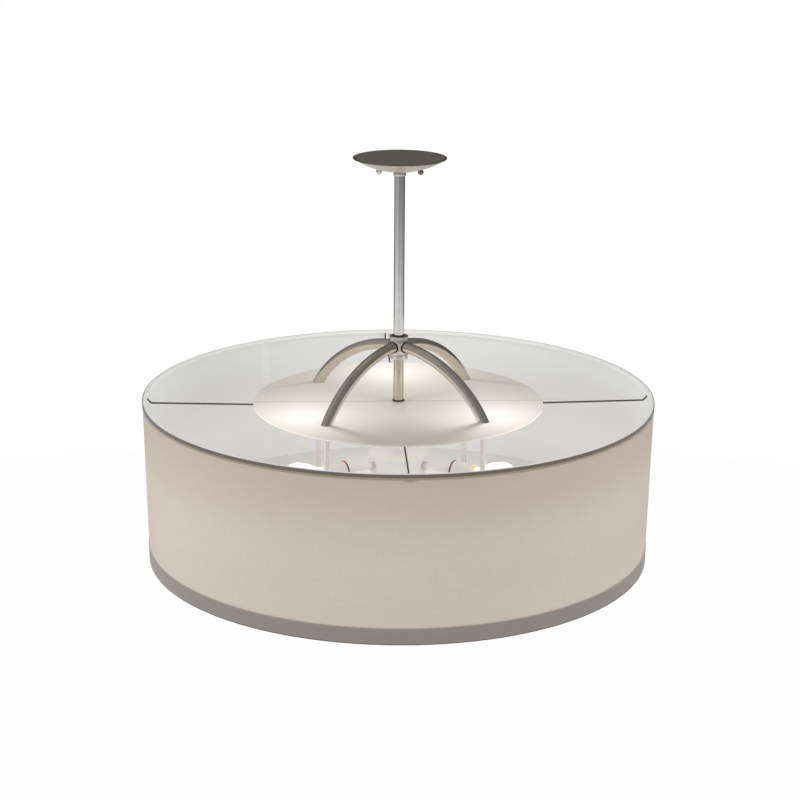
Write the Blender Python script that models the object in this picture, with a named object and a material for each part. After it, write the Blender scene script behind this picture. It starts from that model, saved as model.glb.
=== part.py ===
"""Drum shade chandelier that hangs on one stem, built as its real pieces.

Metres, +Z up. The origin is the middle of the flat top of the ceiling plate, so all of it hangs below z = 0.
"""

import math

import bmesh
import bpy
from mathutils import Matrix, Vector

# Clearances that the whole part shares
GAP = 0.0003
OVERRUN = 0.002
MERGE_DISTANCE = 0.00001

# Facets
SMALL_STEPS = 12
MIDDLE_STEPS = 16
SWIVEL_STEPS = 20
CANOPY_STEPS = 32
DISC_STEPS = 56
SHADE_STEPS = 56
GLOBE_STEPS = 16
WIRE_SIDES = 6
HEX_SIDES = 6
ARM_SIDES = 12
ARM_RINGS = 8
RECESS_RINGS = 3
CANOPY_RINGS = 5
NUT_RINGS = 5
GLOBE_RINGS = 5
NECK_RINGS = 2
CORNER_POINTS = 3
SEAT_POINTS = 3
BALL_POINTS = 7
SHARP_ANGLE = math.radians(35)
QUARTER = math.pi / 2

# Canopy, ceiling plate and its two studs
CANOPY_RADIUS = 0.0820
CANOPY_DEPTH = 0.0242
CANOPY_WALL = 0.0012
PLATE_THICKNESS = 0.0020
STUD_PITCH = 0.0730
STUD_RADIUS = 0.0020
STUD_LINE_TURN = math.radians(-5)
STUD_HOLE_CLEARANCE = 0.0005
BALL_NUT_RADIUS = 0.0048
BALL_NUT_WALL = 0.0014
FIXING_PITCH = 0.0889
FIXING_HOLE_RADIUS = 0.0024
SUPPLY_HOLE_RADIUS = 0.0065
SUPPLY_HOLE_OFFSET = 0.0250

# Ball swivel that lets the stem hang straight
SWIVEL_TILT = math.radians(6)
BALL_RADIUS = 0.0160
COLLAR_WALL = 0.0015
COLLAR_HEIGHT = 0.0047
COLLAR_STANDOFF = 0.0022
WASHER_WALL = 0.0015
WASHER_RISE = 0.0020
CUP_WALL = 0.0026
CUP_RISE = 0.0030
SEAT_CLEARANCE = 0.0004
SWING_CLEARANCE = 0.0002
LOCK_NUT_WALL = 0.0008
LOCK_NUT_HEIGHT = 0.0030
STEM_TO_PLATE = 0.0022
STEM_END_SHOW = 0.0005

# Stem, hub and lower stem
STEM_RADIUS = 0.0093
STEM_WALL = 0.0020
HUB_DROP = 0.3231
HUB_RADIUS = 0.0170
HUB_HEIGHT = 0.0383
HUB_TOP_TO_ARMS = 0.0149
HUB_EDGE = 0.0012
HUB_STEM_SOCKET = 0.0075
HUB_WIRE_RADIUS = 0.0060
HUB_RING_WALL = 0.0036
HUB_RING_HEIGHT = 0.0042
LOWER_STEM_RADIUS = 0.0090
GASKET_RADIUS = 0.0108
GASKET_HEIGHT = 0.0030
NIPPLE_RADIUS = 0.0064
NIPPLE_WALL = 0.0016
NIPPLE_REACH = 0.0220
NIPPLE_BELOW_CAP = 0.0110

# Four bent arms
ARM_COUNT = 4
ARM_TURN = math.radians(50.2)
ARM_RADIUS = 0.0095
ARM_WALL = 0.0015
ARM_BEND_RADIUS = 0.2327
ARM_DROP = 0.1032
ARM_SEAT_DEPTH = 0.0022
ARM_PLUG = 0.0110

# Upper disc
DISC_RADIUS = 0.2600
DISC_THICKNESS = 0.0030
DISC_NUT_WALL = 0.0041
DISC_NUT_HEIGHT = 0.0050

# Rods, lower disc and its cap nuts
ROD_RADIUS = 0.0048
ROD_NECK_RADIUS = 0.0030
ROD_NECK_RISE = 0.0070
ROD_NECK_DROP = 0.0050
DIFFUSER_MARGIN = 0.0025
DIFFUSER_THICKNESS = 0.0030
DIFFUSER_RISE = 0.0485
CAP_NUT_WALL = 0.0042
CAP_NUT_HEIGHT = 0.0095
CAP_NUT_SKIRT = 0.0040

# Drum shade
SHADE_RADIUS = 0.4572
SHADE_NARROWING = 0.0055
SHADE_HEIGHT = 0.2945
RIM_ABOVE_DISC = 0.0135
TRIM_WALL = 0.0005
FABRIC_WALL = 0.0006
LINER_WALL = 0.0008
TOP_TRIM_HEIGHT = 0.0095
BOTTOM_TRIM_HEIGHT = 0.0300
RING_WIRE_RADIUS = 0.0022

# Wire spider
WIRE_RADIUS = 0.0015
WIRE_TURN = math.radians(2.5)
WIRE_COUNT = 4
SPIDER_WASHER_WALL = 0.0083
SPIDER_WASHER_HEIGHT = 0.0030
WIRE_KNEE_INSET = 0.0100
WIRE_KNEE_LENGTH = 0.0050
WIRE_KNEE_DROP = 0.0145

# Lamp cluster
CLUSTER_PIPE_RADIUS = 0.0095
CLUSTER_PIPE_LENGTH = 0.0821
CAP_RADIUS = 0.0536
CAP_SKIRT = 0.0100
CAP_CORNER = 0.0030
CLUSTER_WALL = 0.0012
CUP_HEIGHT = 0.0400
CUP_CORNER = 0.0050

# Three lamps
LAMP_COUNT = 3
LAMP_FROM_ARM = math.radians(41.8)
LAMP_NUT_WALL = 0.0020
LAMP_NUT_HEIGHT = 0.0050
LAMP_NUT_DROP = 0.0006
LAMP_NIPPLE_RADIUS = 0.0050
LAMP_NIPPLE_WALL = 0.0015
LAMP_NIPPLE_SHOW = 0.0550
LAMP_NIPPLE_INSIDE = 0.0070
LAMP_NIPPLE_IN_SOCKET = 0.0030
END_RING_OVERHANG = 0.0002
END_RING_HEIGHT = 0.0015
SOCKET_LENGTH = 0.0385
SOCKET_WALL = 0.0044
SOCKET_EDGE = 0.0010
BASE_RADIUS = 0.0130
BASE_LENGTH = 0.0225
BASE_CLEARANCE = 0.0006
BASE_TAPER = 0.0045
BASE_TIP_RADIUS = 0.0070
BASE_WALL = 0.0008
CONTACT_RADIUS = 0.0045
CONTACT_HEIGHT = 0.0018
GLOBE_RADIUS = 0.0300
GLOBE_WALL = 0.0011
GLOBE_CENTRE = 0.0545
GLOBE_END_LATITUDE = math.radians(-25)
NECK_STEP = 0.0012
NECK_LENGTH = 0.0060

# Heights and radii that follow from the sizes above
DISH_SPHERE = (CANOPY_RADIUS**2 + CANOPY_DEPTH**2) / (2 * CANOPY_DEPTH)
DISH_CENTRE_Z = DISH_SPHERE - CANOPY_DEPTH
DISH_INSIDE = DISH_SPHERE - CANOPY_WALL
STEM_BORE = STEM_RADIUS + GAP
COLLAR_RADIUS = STEM_BORE + COLLAR_WALL
BALL_TO_COLLAR = math.sqrt(BALL_RADIUS**2 - COLLAR_RADIUS**2)
SWIVEL_Z = -CANOPY_DEPTH - COLLAR_STANDOFF + BALL_TO_COLLAR
STEM_TOP_Z = -PLATE_THICKNESS - STEM_TO_PLATE
LOCK_NUT_TOP_Z = STEM_TOP_Z - STEM_END_SHOW
BALL_TOP_RISE = LOCK_NUT_TOP_Z - LOCK_NUT_HEIGHT - GAP - SWIVEL_Z
WASHER_INSIDE = BALL_RADIUS + SEAT_CLEARANCE
WASHER_OUTSIDE = WASHER_INSIDE + WASHER_WALL
HUB_TOP_Z = -HUB_DROP
HUB_BOTTOM_Z = HUB_TOP_Z - HUB_HEIGHT
ARM_Z = HUB_TOP_Z - HUB_TOP_TO_ARMS
ARM_SWEEP = math.acos(1 - ARM_DROP / ARM_BEND_RADIUS)
FOOT_RADIUS = ARM_BEND_RADIUS * math.sin(ARM_SWEEP)
NIPPLE_BORE = NIPPLE_RADIUS + GAP
ROD_BORE = ROD_NECK_RADIUS + GAP
DISC_TOP_Z = ARM_Z - ARM_DROP
DISC_BOTTOM_Z = DISC_TOP_Z - DISC_THICKNESS
RIM_Z = DISC_TOP_Z + RIM_ABOVE_DISC
HEM_Z = RIM_Z - SHADE_HEIGHT
SHADE_TAPER = SHADE_NARROWING / SHADE_HEIGHT
FABRIC_INSET = TRIM_WALL + GAP
LINER_INSET = FABRIC_INSET + FABRIC_WALL + GAP
RING_INSET = LINER_INSET + LINER_WALL + GAP + RING_WIRE_RADIUS
TRIM_INSIDE = RING_INSET + RING_WIRE_RADIUS + GAP
DIFFUSER_BOTTOM_Z = HEM_Z + DIFFUSER_RISE
DIFFUSER_TOP_Z = DIFFUSER_BOTTOM_Z + DIFFUSER_THICKNESS
WASHER_TOP_Z = DISC_BOTTOM_Z - GAP
DISC_NUT_TOP_Z = WASHER_TOP_Z - SPIDER_WASHER_HEIGHT - GAP
PIPE_TOP_Z = DISC_NUT_TOP_Z - DISC_NUT_HEIGHT - GAP
CAP_TOP_Z = PIPE_TOP_Z - CLUSTER_PIPE_LENGTH - GAP
CUP_RADIUS = CAP_RADIUS - CLUSTER_WALL - GAP
LAMP_BORE = LAMP_NIPPLE_RADIUS + GAP
LAMP_NUT_CORNER = (LAMP_BORE + LAMP_NUT_WALL) / math.cos(math.pi / HEX_SIDES)
LAMP_Z = CAP_TOP_Z - CAP_SKIRT - LAMP_NUT_DROP - LAMP_NUT_CORNER
LAMP_NUT_END = CUP_RADIUS + GAP + LAMP_NUT_HEIGHT
SOCKET_START = LAMP_NUT_END + LAMP_NIPPLE_SHOW + END_RING_HEIGHT + GAP
SOCKET_END = SOCKET_START + SOCKET_LENGTH
BASE_BORE = BASE_RADIUS + BASE_CLEARANCE
SOCKET_RADIUS = BASE_BORE + SOCKET_WALL
BASE_START = SOCKET_END + GAP - BASE_LENGTH
CONTACT_START = BASE_START - GAP - CONTACT_HEIGHT
FINISHES = {}


def clear_scene():
    for old in list(bpy.data.objects):
        bpy.data.objects.remove(old)


def finish(name, colour, roughness, metallic=0.0, glow=0.0):
    """The Principled material of this name, made once."""
    if name not in FINISHES:
        material = bpy.data.materials.new(name)
        material.use_nodes = True
        shader = material.node_tree.nodes["Principled BSDF"]
        shader.inputs["Base Color"].default_value = (*colour, 1.0)
        shader.inputs["Roughness"].default_value = roughness
        shader.inputs["Metallic"].default_value = metallic
        shader.inputs["Emission Color"].default_value = (*colour, 1.0)
        shader.inputs["Emission Strength"].default_value = glow
        material.diffuse_color = (*colour, 1.0)
        FINISHES[name] = material
    return FINISHES[name]


def brushed_nickel():
    return finish("brushed_nickel", (0.43, 0.41, 0.38), 0.32, 1.0)


def dark_plate():
    return finish("dark_plate", (0.095, 0.085, 0.075), 0.55, 0.6)


def plated_steel():
    return finish("plated_steel", (0.50, 0.50, 0.48), 0.40, 1.0)


def black_rubber():
    return finish("black_rubber", (0.03, 0.028, 0.025), 0.75)


def white_enamel():
    return finish("white_enamel", (0.82, 0.81, 0.78), 0.35)


def opal_acrylic():
    return finish("opal_acrylic", (0.80, 0.76, 0.70), 0.28)


def shade_linen():
    return finish("shade_linen", (0.56, 0.47, 0.39), 0.90)


def trim_tape():
    return finish("trim_tape", (0.24, 0.22, 0.20), 0.80)


def white_liner():
    return finish("white_liner", (0.76, 0.76, 0.74), 0.50)


def dark_wire():
    return finish("dark_wire", (0.14, 0.13, 0.12), 0.45, 0.8)


def red_fibre():
    return finish("red_fibre", (0.42, 0.10, 0.05), 0.60)


def socket_plastic():
    return finish("socket_plastic", (0.80, 0.79, 0.76), 0.40)


def nickel_brass():
    return finish("nickel_brass", (0.62, 0.56, 0.42), 0.30, 1.0)


def lit_glass():
    return finish("lit_glass", (1.0, 0.97, 0.92), 0.30, 0.0, 1.5)


def new_piece(name, shape, material):
    """An object from a bmesh, with its faces out and its round sides smooth."""
    bmesh.ops.recalc_face_normals(shape, faces=shape.faces)
    mesh = bpy.data.meshes.new(name)
    shape.to_mesh(mesh)
    shape.free()
    mesh.shade_smooth()
    mesh.set_sharp_from_angle(angle=SHARP_ANGLE)
    mesh.materials.append(material)
    piece = bpy.data.objects.new(name, mesh)
    bpy.context.scene.collection.objects.link(piece)
    return piece


def turned(name, profile, material, steps=MIDDLE_STEPS):
    """A profile of (radius, height) points, spun about Z, and closed unless it starts on the axis."""
    shape = bmesh.new()
    points = [shape.verts.new((radius, 0, height)) for radius, height in profile]
    edges = [shape.edges.new(pair) for pair in zip(points, points[1:])]
    if profile[0][0] > 0:
        edges.append(shape.edges.new((points[-1], points[0])))
    ring = points + edges
    bmesh.ops.spin(shape, geom=ring, cent=(0, 0, 0), axis=(0, 0, 1), angle=math.tau, steps=steps)
    bmesh.ops.remove_doubles(shape, verts=shape.verts, dist=MERGE_DISTANCE)
    return new_piece(name, shape, material)


def tube(name, outer, inner, top, bottom, material, steps=MIDDLE_STEPS):
    profile = [(outer, top), (outer, bottom), (inner, bottom), (inner, top)]
    return turned(name, profile, material, steps)


def solid_round(name, radius, top, bottom, material, steps=SMALL_STEPS):
    return turned(name, [(0, top), (radius, top), (radius, bottom), (0, bottom)], material, steps)


def hex_nut(name, bore, wall, top, bottom, material, steps=MIDDLE_STEPS):
    """A six-sided nut, its wall measured at the flats, with the bore drilled round."""
    corner_radius = (bore + wall) / math.cos(math.pi / HEX_SIDES)
    nut = solid_round(name, corner_radius, top, bottom, material, HEX_SIDES)
    return cut(nut, drill(name + "_drill", bore, top, bottom, steps))


def lofted(name, rings, material):
    """Rings of points joined one to the next, with the first and the last closed."""
    shape = bmesh.new()
    rows = [[shape.verts.new(point) for point in ring] for ring in rings]
    sides = len(rows[0])
    for row, following in zip(rows, rows[1:]):
        for i in range(sides):
            after = (i + 1) % sides
            shape.faces.new((row[i], row[after], following[after], following[i]))
    shape.faces.new(rows[0])
    shape.faces.new(rows[-1])
    return new_piece(name, shape, material)


def circle_at(centre, across, up, radius, sides):
    """Points of a circle round a centre, in the plane of two unit vectors."""
    angles = [math.tau * i / sides for i in range(sides)]
    return [centre + radius * (math.cos(a) * across + math.sin(a) * up) for a in angles]


def spread(start, end, count):
    """Evenly spaced values from start to end, both included."""
    return [start + (end - start) * i / (count - 1) for i in range(count)]


def helper(piece):
    piece.hide_render = True
    piece.display_type = "WIRE"
    return piece


def drill(name, radius, top, bottom, steps=SMALL_STEPS):
    """A cutter that runs past both faces."""
    return helper(solid_round(name, radius, top + OVERRUN, bottom - OVERRUN, brushed_nickel(), steps))


def cut(piece, cutter, operation="DIFFERENCE"):
    change = piece.modifiers.new(cutter.name, "BOOLEAN")
    change.operation = operation
    change.solver = "EXACT"
    change.object = cutter
    return piece


def join(piece, other):
    return cut(piece, helper(other), "UNION")


def polar(radius, angle, height=0):
    return Vector((radius * math.cos(angle), radius * math.sin(angle), height))


def dish_z(radius, sphere):
    """Height of the dish at a radius, on a sphere round the dish's centre."""
    return DISH_CENTRE_Z - math.sqrt(sphere**2 - radius**2)


def dish_radius(height, sphere):
    return math.sqrt(sphere**2 - (DISH_CENTRE_Z - height) ** 2)


def stud_places():
    half = STUD_PITCH / 2
    return [polar(-half, STUD_LINE_TURN), polar(half, STUD_LINE_TURN)]


def make_ceiling_plate():
    """The flat plate that screws to the ceiling box, its edge sloped like the dish it closes."""
    edge = DISH_INSIDE - GAP
    profile = [
        (0, 0),
        (dish_radius(0, edge), 0),
        (dish_radius(-PLATE_THICKNESS, edge), -PLATE_THICKNESS),
        (0, -PLATE_THICKNESS),
    ]
    plate = turned("ceiling_plate", profile, dark_plate(), CANOPY_STEPS)
    for number, place in enumerate(stud_places(), 1):
        root = -PLATE_THICKNESS / 2
        tip = ball_nut_z() - STUD_RADIUS
        stud = solid_round(f"stud_{number}", STUD_RADIUS, root, tip, dark_plate())
        stud.location = place
        join(plate, stud)
    across = STUD_LINE_TURN + QUARTER
    holes = [
        ("fixing_hole_1", FIXING_HOLE_RADIUS, FIXING_PITCH / 2),
        ("fixing_hole_2", FIXING_HOLE_RADIUS, -FIXING_PITCH / 2),
        ("supply_hole", SUPPLY_HOLE_RADIUS, SUPPLY_HOLE_OFFSET),
    ]
    for name, radius, offset in holes:
        cutter = drill(name, radius, 0, -PLATE_THICKNESS)
        cutter.location = polar(offset, across)
        cut(plate, cutter)


def ball_nut_z():
    """The ball nut bears on the dish's underside at its stud."""
    bearing = DISH_SPHERE + BALL_NUT_RADIUS + GAP
    return dish_z(STUD_PITCH / 2, bearing)


def make_ball_nuts():
    bore = STUD_RADIUS + GAP
    floor = BALL_NUT_WALL - BALL_NUT_RADIUS
    angles = spread(math.acos(bore / BALL_NUT_RADIUS), -QUARTER, NUT_RINGS)
    skin = [(BALL_NUT_RADIUS * math.cos(a), BALL_NUT_RADIUS * math.sin(a)) for a in angles[:-1]]
    profile = [(0, floor), (bore, floor), *skin, (0, -BALL_NUT_RADIUS)]
    for number, place in enumerate(stud_places(), 1):
        nut = turned(f"ball_nut_{number}", profile, brushed_nickel(), SMALL_STEPS)
        nut.location = place + Vector((0, 0, ball_nut_z()))


def canopy_hole_radius():
    """Clears the ball where it passes the dish's upper face."""
    below = SWIVEL_Z - dish_z(BALL_RADIUS, DISH_INSIDE)
    return math.sqrt(BALL_RADIUS**2 - below**2) + 2 * GAP


def make_canopy():
    """A shallow spun dish with a hole for the ball and two for the studs."""
    hole = canopy_hole_radius()
    points = CANOPY_RINGS + 1
    profile = [(r, dish_z(r, DISH_SPHERE)) for r in spread(CANOPY_RADIUS, hole, points)]
    profile += [(r, dish_z(r, DISH_INSIDE)) for r in spread(hole, dish_radius(0, DISH_INSIDE), points)]
    canopy = turned("canopy", profile, brushed_nickel(), CANOPY_STEPS)
    for number, place in enumerate(stud_places(), 1):
        radius = STUD_RADIUS + STUD_HOLE_CLEARANCE
        cutter = drill(f"stud_hole_{number}", radius, 0, -CANOPY_DEPTH)
        cutter.location = place
        cut(canopy, cutter)


def sphere_arc(radius, low, high, count):
    """(radius, height) points on a ball round the origin, from one latitude to another."""
    return [(radius * math.cos(a), radius * math.sin(a)) for a in spread(low, high, count)]


def at_swivel(name, profile):
    piece = turned(name, profile, plated_steel(), SWIVEL_STEPS)
    piece.location.z = SWIVEL_Z


def make_swivel_seat():
    """A cup on the dish's floor holds a washer, and the washer holds the ball: all share one centre."""
    cup_bore = WASHER_OUTSIDE + SEAT_CLEARANCE
    cup_outside = cup_bore + CUP_WALL
    floor = dish_z(cup_outside, DISH_INSIDE) + GAP - SWIVEL_Z
    cup = [(cup_outside, CUP_RISE), (cup_outside, floor)]
    cup += sphere_arc(cup_bore, math.asin(floor / cup_bore), math.asin(CUP_RISE / cup_bore), SEAT_POINTS)
    at_swivel("swivel_cup", cup)
    room = SWIVEL_Z - dish_z(WASHER_INSIDE, DISH_INSIDE) - SWING_CLEARANCE
    low = SWIVEL_TILT - math.asin(room / WASHER_OUTSIDE)
    washer = sphere_arc(WASHER_OUTSIDE, math.asin(WASHER_RISE / WASHER_OUTSIDE), low, SEAT_POINTS)
    washer += sphere_arc(WASHER_INSIDE, low, math.asin(WASHER_RISE / WASHER_INSIDE), SEAT_POINTS)
    at_swivel("swivel_washer", washer)


def make_swivel_ball():
    """The hollow ball is threaded on the stem's top end and locked by a nut."""
    top = math.asin(BALL_TOP_RISE / BALL_RADIUS)
    bottom = -math.asin(BALL_TO_COLLAR / BALL_RADIUS)
    ball = sphere_arc(BALL_RADIUS, top, bottom, BALL_POINTS)
    ball += [(STEM_BORE, -BALL_TO_COLLAR), (STEM_BORE, BALL_TOP_RISE)]
    at_swivel("swivel_ball", ball)
    nut_bottom = LOCK_NUT_TOP_Z - LOCK_NUT_HEIGHT
    hex_nut("stem_lock_nut", STEM_BORE, LOCK_NUT_WALL, LOCK_NUT_TOP_Z, nut_bottom, plated_steel())


def make_stem():
    bottom = HUB_TOP_Z - HUB_STEM_SOCKET + GAP
    tube("stem", STEM_RADIUS, STEM_RADIUS - STEM_WALL, STEM_TOP_Z, bottom, brushed_nickel())
    collar_top = SWIVEL_Z - BALL_TO_COLLAR - GAP
    collar_bottom = collar_top - COLLAR_HEIGHT
    tube("stem_collar", COLLAR_RADIUS, STEM_BORE, collar_top, collar_bottom, brushed_nickel())
    ring_bottom = HUB_TOP_Z + GAP
    ring_top = ring_bottom + HUB_RING_HEIGHT
    tube("hub_ring", STEM_BORE + HUB_RING_WALL, STEM_BORE, ring_top, ring_bottom, black_rubber())


def make_hub():
    """A cast round block: stems enter from both ends, and four arms seat in shallow round recesses."""
    lower_bore = LOWER_STEM_RADIUS + GAP
    upper_floor = HUB_TOP_Z - HUB_STEM_SOCKET
    lower_floor = HUB_BOTTOM_Z + HUB_STEM_SOCKET
    profile = [
        (HUB_RADIUS - HUB_EDGE, HUB_TOP_Z),
        (HUB_RADIUS, HUB_TOP_Z - HUB_EDGE),
        (HUB_RADIUS, HUB_BOTTOM_Z + HUB_EDGE),
        (HUB_RADIUS - HUB_EDGE, HUB_BOTTOM_Z),
        (lower_bore, HUB_BOTTOM_Z),
        (lower_bore, lower_floor),
        (HUB_WIRE_RADIUS, lower_floor),
        (HUB_WIRE_RADIUS, upper_floor),
        (STEM_BORE, upper_floor),
        (STEM_BORE, HUB_TOP_Z),
    ]
    hub = turned("hub", profile, brushed_nickel())
    seat = HUB_RADIUS - ARM_SEAT_DEPTH - GAP
    for number, angle in enumerate(arm_angles(), 1):
        alongs = spread(bend_angle(seat), bend_angle(HUB_RADIUS + OVERRUN), RECESS_RINGS)
        rings = [arm_ring(angle, ARM_RADIUS + GAP, along) for along in alongs]
        cut(hub, helper(lofted(f"arm_recess_{number}", rings, dark_plate())))


def arm_angles():
    return [ARM_TURN + math.tau * i / ARM_COUNT for i in range(ARM_COUNT)]


def bend_angle(reach):
    """Angle along the bend at which an arm's centre line is this far from the axis."""
    return math.asin(reach / ARM_BEND_RADIUS)


def arm_ring(angle, radius, along):
    """One ring of an arm: the bend starts level on the axis and turns down about a point below it."""
    outward = polar(1, angle)
    centre = outward * (ARM_BEND_RADIUS * math.sin(along))
    centre.z = ARM_Z - ARM_BEND_RADIUS * (1 - math.cos(along))
    normal = outward * math.sin(along) + Vector((0, 0, math.cos(along)))
    side = Vector((-outward.y, outward.x, 0))
    return circle_at(centre, side, normal, radius, ARM_SIDES)


def foot_ring(angle, height):
    """The arm's last ring, slid along the arm's own direction until it lies on a level plane."""
    outward = polar(1, angle)
    heading = outward * math.cos(ARM_SWEEP) - Vector((0, 0, math.sin(ARM_SWEEP)))
    ring = arm_ring(angle, ARM_RADIUS, ARM_SWEEP)
    return [point + heading * ((height - point.z) / heading.z) for point in ring]


def make_arm(number, angle):
    """A bent tube, open at the hub and plugged at the foot, which is cut level to stand on the disc."""
    start = bend_angle(HUB_RADIUS - ARM_SEAT_DEPTH)
    end = ARM_SWEEP - (ARM_RADIUS + ARM_PLUG) / ARM_BEND_RADIUS
    alongs = spread(start, end, ARM_RINGS)
    outer = [arm_ring(angle, ARM_RADIUS, along) for along in alongs]
    outer.append(foot_ring(angle, DISC_TOP_Z + GAP))
    inner = [arm_ring(angle, ARM_RADIUS - ARM_WALL, along) for along in reversed(alongs)]
    arm = lofted(f"arm_{number}", inner + outer, brushed_nickel())
    hole_top = DISC_TOP_Z + ROD_NECK_RISE + GAP
    hole = solid_round(f"rod_hole_{number}", ROD_BORE, hole_top, DISC_TOP_Z - OVERRUN, dark_plate())
    hole.location = polar(FOOT_RADIUS, angle)
    cut(arm, helper(hole))


def make_lower_stem():
    top = HUB_BOTTOM_Z + HUB_STEM_SOCKET - GAP
    gasket_bottom = DISC_TOP_Z + GAP
    gasket_top = gasket_bottom + GASKET_HEIGHT
    bottom = gasket_top + GAP
    tube("lower_stem", LOWER_STEM_RADIUS, NIPPLE_BORE, top, bottom, brushed_nickel())
    tube("stem_gasket", GASKET_RADIUS, NIPPLE_BORE, gasket_top, gasket_bottom, black_rubber())
    nipple_top = bottom + NIPPLE_REACH
    nipple_bottom = CAP_TOP_Z - CLUSTER_WALL - NIPPLE_BELOW_CAP
    nipple_inside = NIPPLE_RADIUS - NIPPLE_WALL
    tube("centre_nipple", NIPPLE_RADIUS, nipple_inside, nipple_top, nipple_bottom, plated_steel())
    nut_bottom = DISC_NUT_TOP_Z - DISC_NUT_HEIGHT
    hex_nut("disc_lock_nut", NIPPLE_BORE, DISC_NUT_WALL, DISC_NUT_TOP_Z, nut_bottom, plated_steel())


def drill_for_rods(disc, top, bottom):
    for number, angle in enumerate(arm_angles(), 1):
        cutter = drill(f"{disc.name}_hole_{number}", ROD_BORE, top, bottom)
        cutter.location = polar(FOOT_RADIUS, angle)
        cut(disc, cutter)


def make_reflector_disc():
    edges = (DISC_TOP_Z, DISC_BOTTOM_Z)
    disc = tube("reflector_disc", DISC_RADIUS, NIPPLE_BORE, *edges, opal_acrylic(), DISC_STEPS)
    drill_for_rods(disc, *edges)


def make_bottom_diffuser():
    edges = (DIFFUSER_TOP_Z, DIFFUSER_BOTTOM_Z)
    radius = shade_radius(DIFFUSER_TOP_Z, LINER_INSET + LINER_WALL) - DIFFUSER_MARGIN
    disc = solid_round("bottom_diffuser", radius, *edges, opal_acrylic(), DISC_STEPS)
    drill_for_rods(disc, *edges)


def make_rod(number, angle):
    """A white rod from an arm's foot to the lower disc. A thin neck at each end passes its disc."""
    top = DISC_BOTTOM_Z - GAP
    bottom = DIFFUSER_TOP_Z + GAP
    neck_top = DISC_TOP_Z + ROD_NECK_RISE
    neck_bottom = DIFFUSER_BOTTOM_Z - ROD_NECK_DROP
    profile = [
        (0, neck_top),
        (ROD_NECK_RADIUS, neck_top),
        (ROD_NECK_RADIUS, top),
        (ROD_RADIUS, top),
        (ROD_RADIUS, bottom),
        (ROD_NECK_RADIUS, bottom),
        (ROD_NECK_RADIUS, neck_bottom),
        (0, neck_bottom),
    ]
    rod = turned(f"rod_{number}", profile, white_enamel(), SMALL_STEPS)
    rod.location = polar(FOOT_RADIUS, angle)


def make_diffuser_nut(number, angle):
    """A domed nut on a rod's lower neck."""
    top = DIFFUSER_BOTTOM_Z - GAP
    floor = DIFFUSER_BOTTOM_Z - ROD_NECK_DROP - GAP
    radius = ROD_BORE + CAP_NUT_WALL
    shoulder = top - CAP_NUT_SKIRT
    dome = CAP_NUT_HEIGHT - CAP_NUT_SKIRT
    angles = spread(0, QUARTER, CORNER_POINTS + 1)
    skin = [(radius * math.cos(a), shoulder - dome * math.sin(a)) for a in angles[:-1]]
    profile = [(0, floor), (ROD_BORE, floor), (ROD_BORE, top), (radius, top), *skin, (0, shoulder - dome)]
    nut = turned(f"diffuser_nut_{number}", profile, brushed_nickel(), SMALL_STEPS)
    nut.location = polar(FOOT_RADIUS, angle)


def shade_radius(height, inset=0):
    """Radius of the tapered drum at a height, less the layers outside."""
    return SHADE_RADIUS - SHADE_TAPER * (RIM_Z - height) - inset


def drum(name, inset, wall, material):
    """One layer of the drum's wall, from fold to fold of the two tapes."""
    top = RIM_Z - TRIM_WALL - GAP
    bottom = HEM_Z + TRIM_WALL + GAP
    profile = [
        (shade_radius(top, inset), top),
        (shade_radius(bottom, inset), bottom),
        (shade_radius(bottom, inset + wall), bottom),
        (shade_radius(top, inset + wall), top),
    ]
    turned(name, profile, material, SHADE_STEPS)


def folded_tape(name, edge, outer_end, inner_end, fold):
    """Tape folded over an edge of the drum: a leg outside, the fold, and a leg inside."""
    folded = edge + fold
    profile = [
        (shade_radius(edge), edge),
        (shade_radius(outer_end), outer_end),
        (shade_radius(outer_end, TRIM_WALL), outer_end),
        (shade_radius(folded, TRIM_WALL), folded),
        (shade_radius(folded, TRIM_INSIDE), folded),
        (shade_radius(inner_end, TRIM_INSIDE), inner_end),
        (shade_radius(inner_end, TRIM_INSIDE + TRIM_WALL), inner_end),
        (shade_radius(edge, TRIM_INSIDE + TRIM_WALL), edge),
    ]
    turned(name, profile, trim_tape(), SHADE_STEPS)


def wire_ring(name, height):
    """A wire hoop against the liner's inner face."""
    radius = shade_radius(height, RING_INSET)
    angles = [math.tau * i / WIRE_SIDES for i in range(WIRE_SIDES)]
    section = [(RING_WIRE_RADIUS * math.cos(a), RING_WIRE_RADIUS * math.sin(a)) for a in angles]
    return turned(name, [(radius + x, height + z) for x, z in section], dark_wire(), SHADE_STEPS)


def top_ring_z():
    return RIM_Z - TRIM_WALL - GAP - RING_WIRE_RADIUS


def make_shade():
    """Linen over a stiff white liner, with a folded tape on the rim and a broad one on the hem."""
    drum("shade_fabric", FABRIC_INSET, FABRIC_WALL, shade_linen())
    drum("shade_liner", LINER_INSET, LINER_WALL, white_liner())
    folded_tape("top_trim", RIM_Z, RIM_Z - TOP_TRIM_HEIGHT, top_ring_z(), -TRIM_WALL)
    ring_z = HEM_Z + TRIM_WALL + GAP + RING_WIRE_RADIUS
    folded_tape("bottom_trim", HEM_Z, HEM_Z + BOTTOM_TRIM_HEIGHT, ring_z + RING_WIRE_RADIUS, TRIM_WALL)
    wire_ring("shade_bottom_ring", ring_z)


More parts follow.
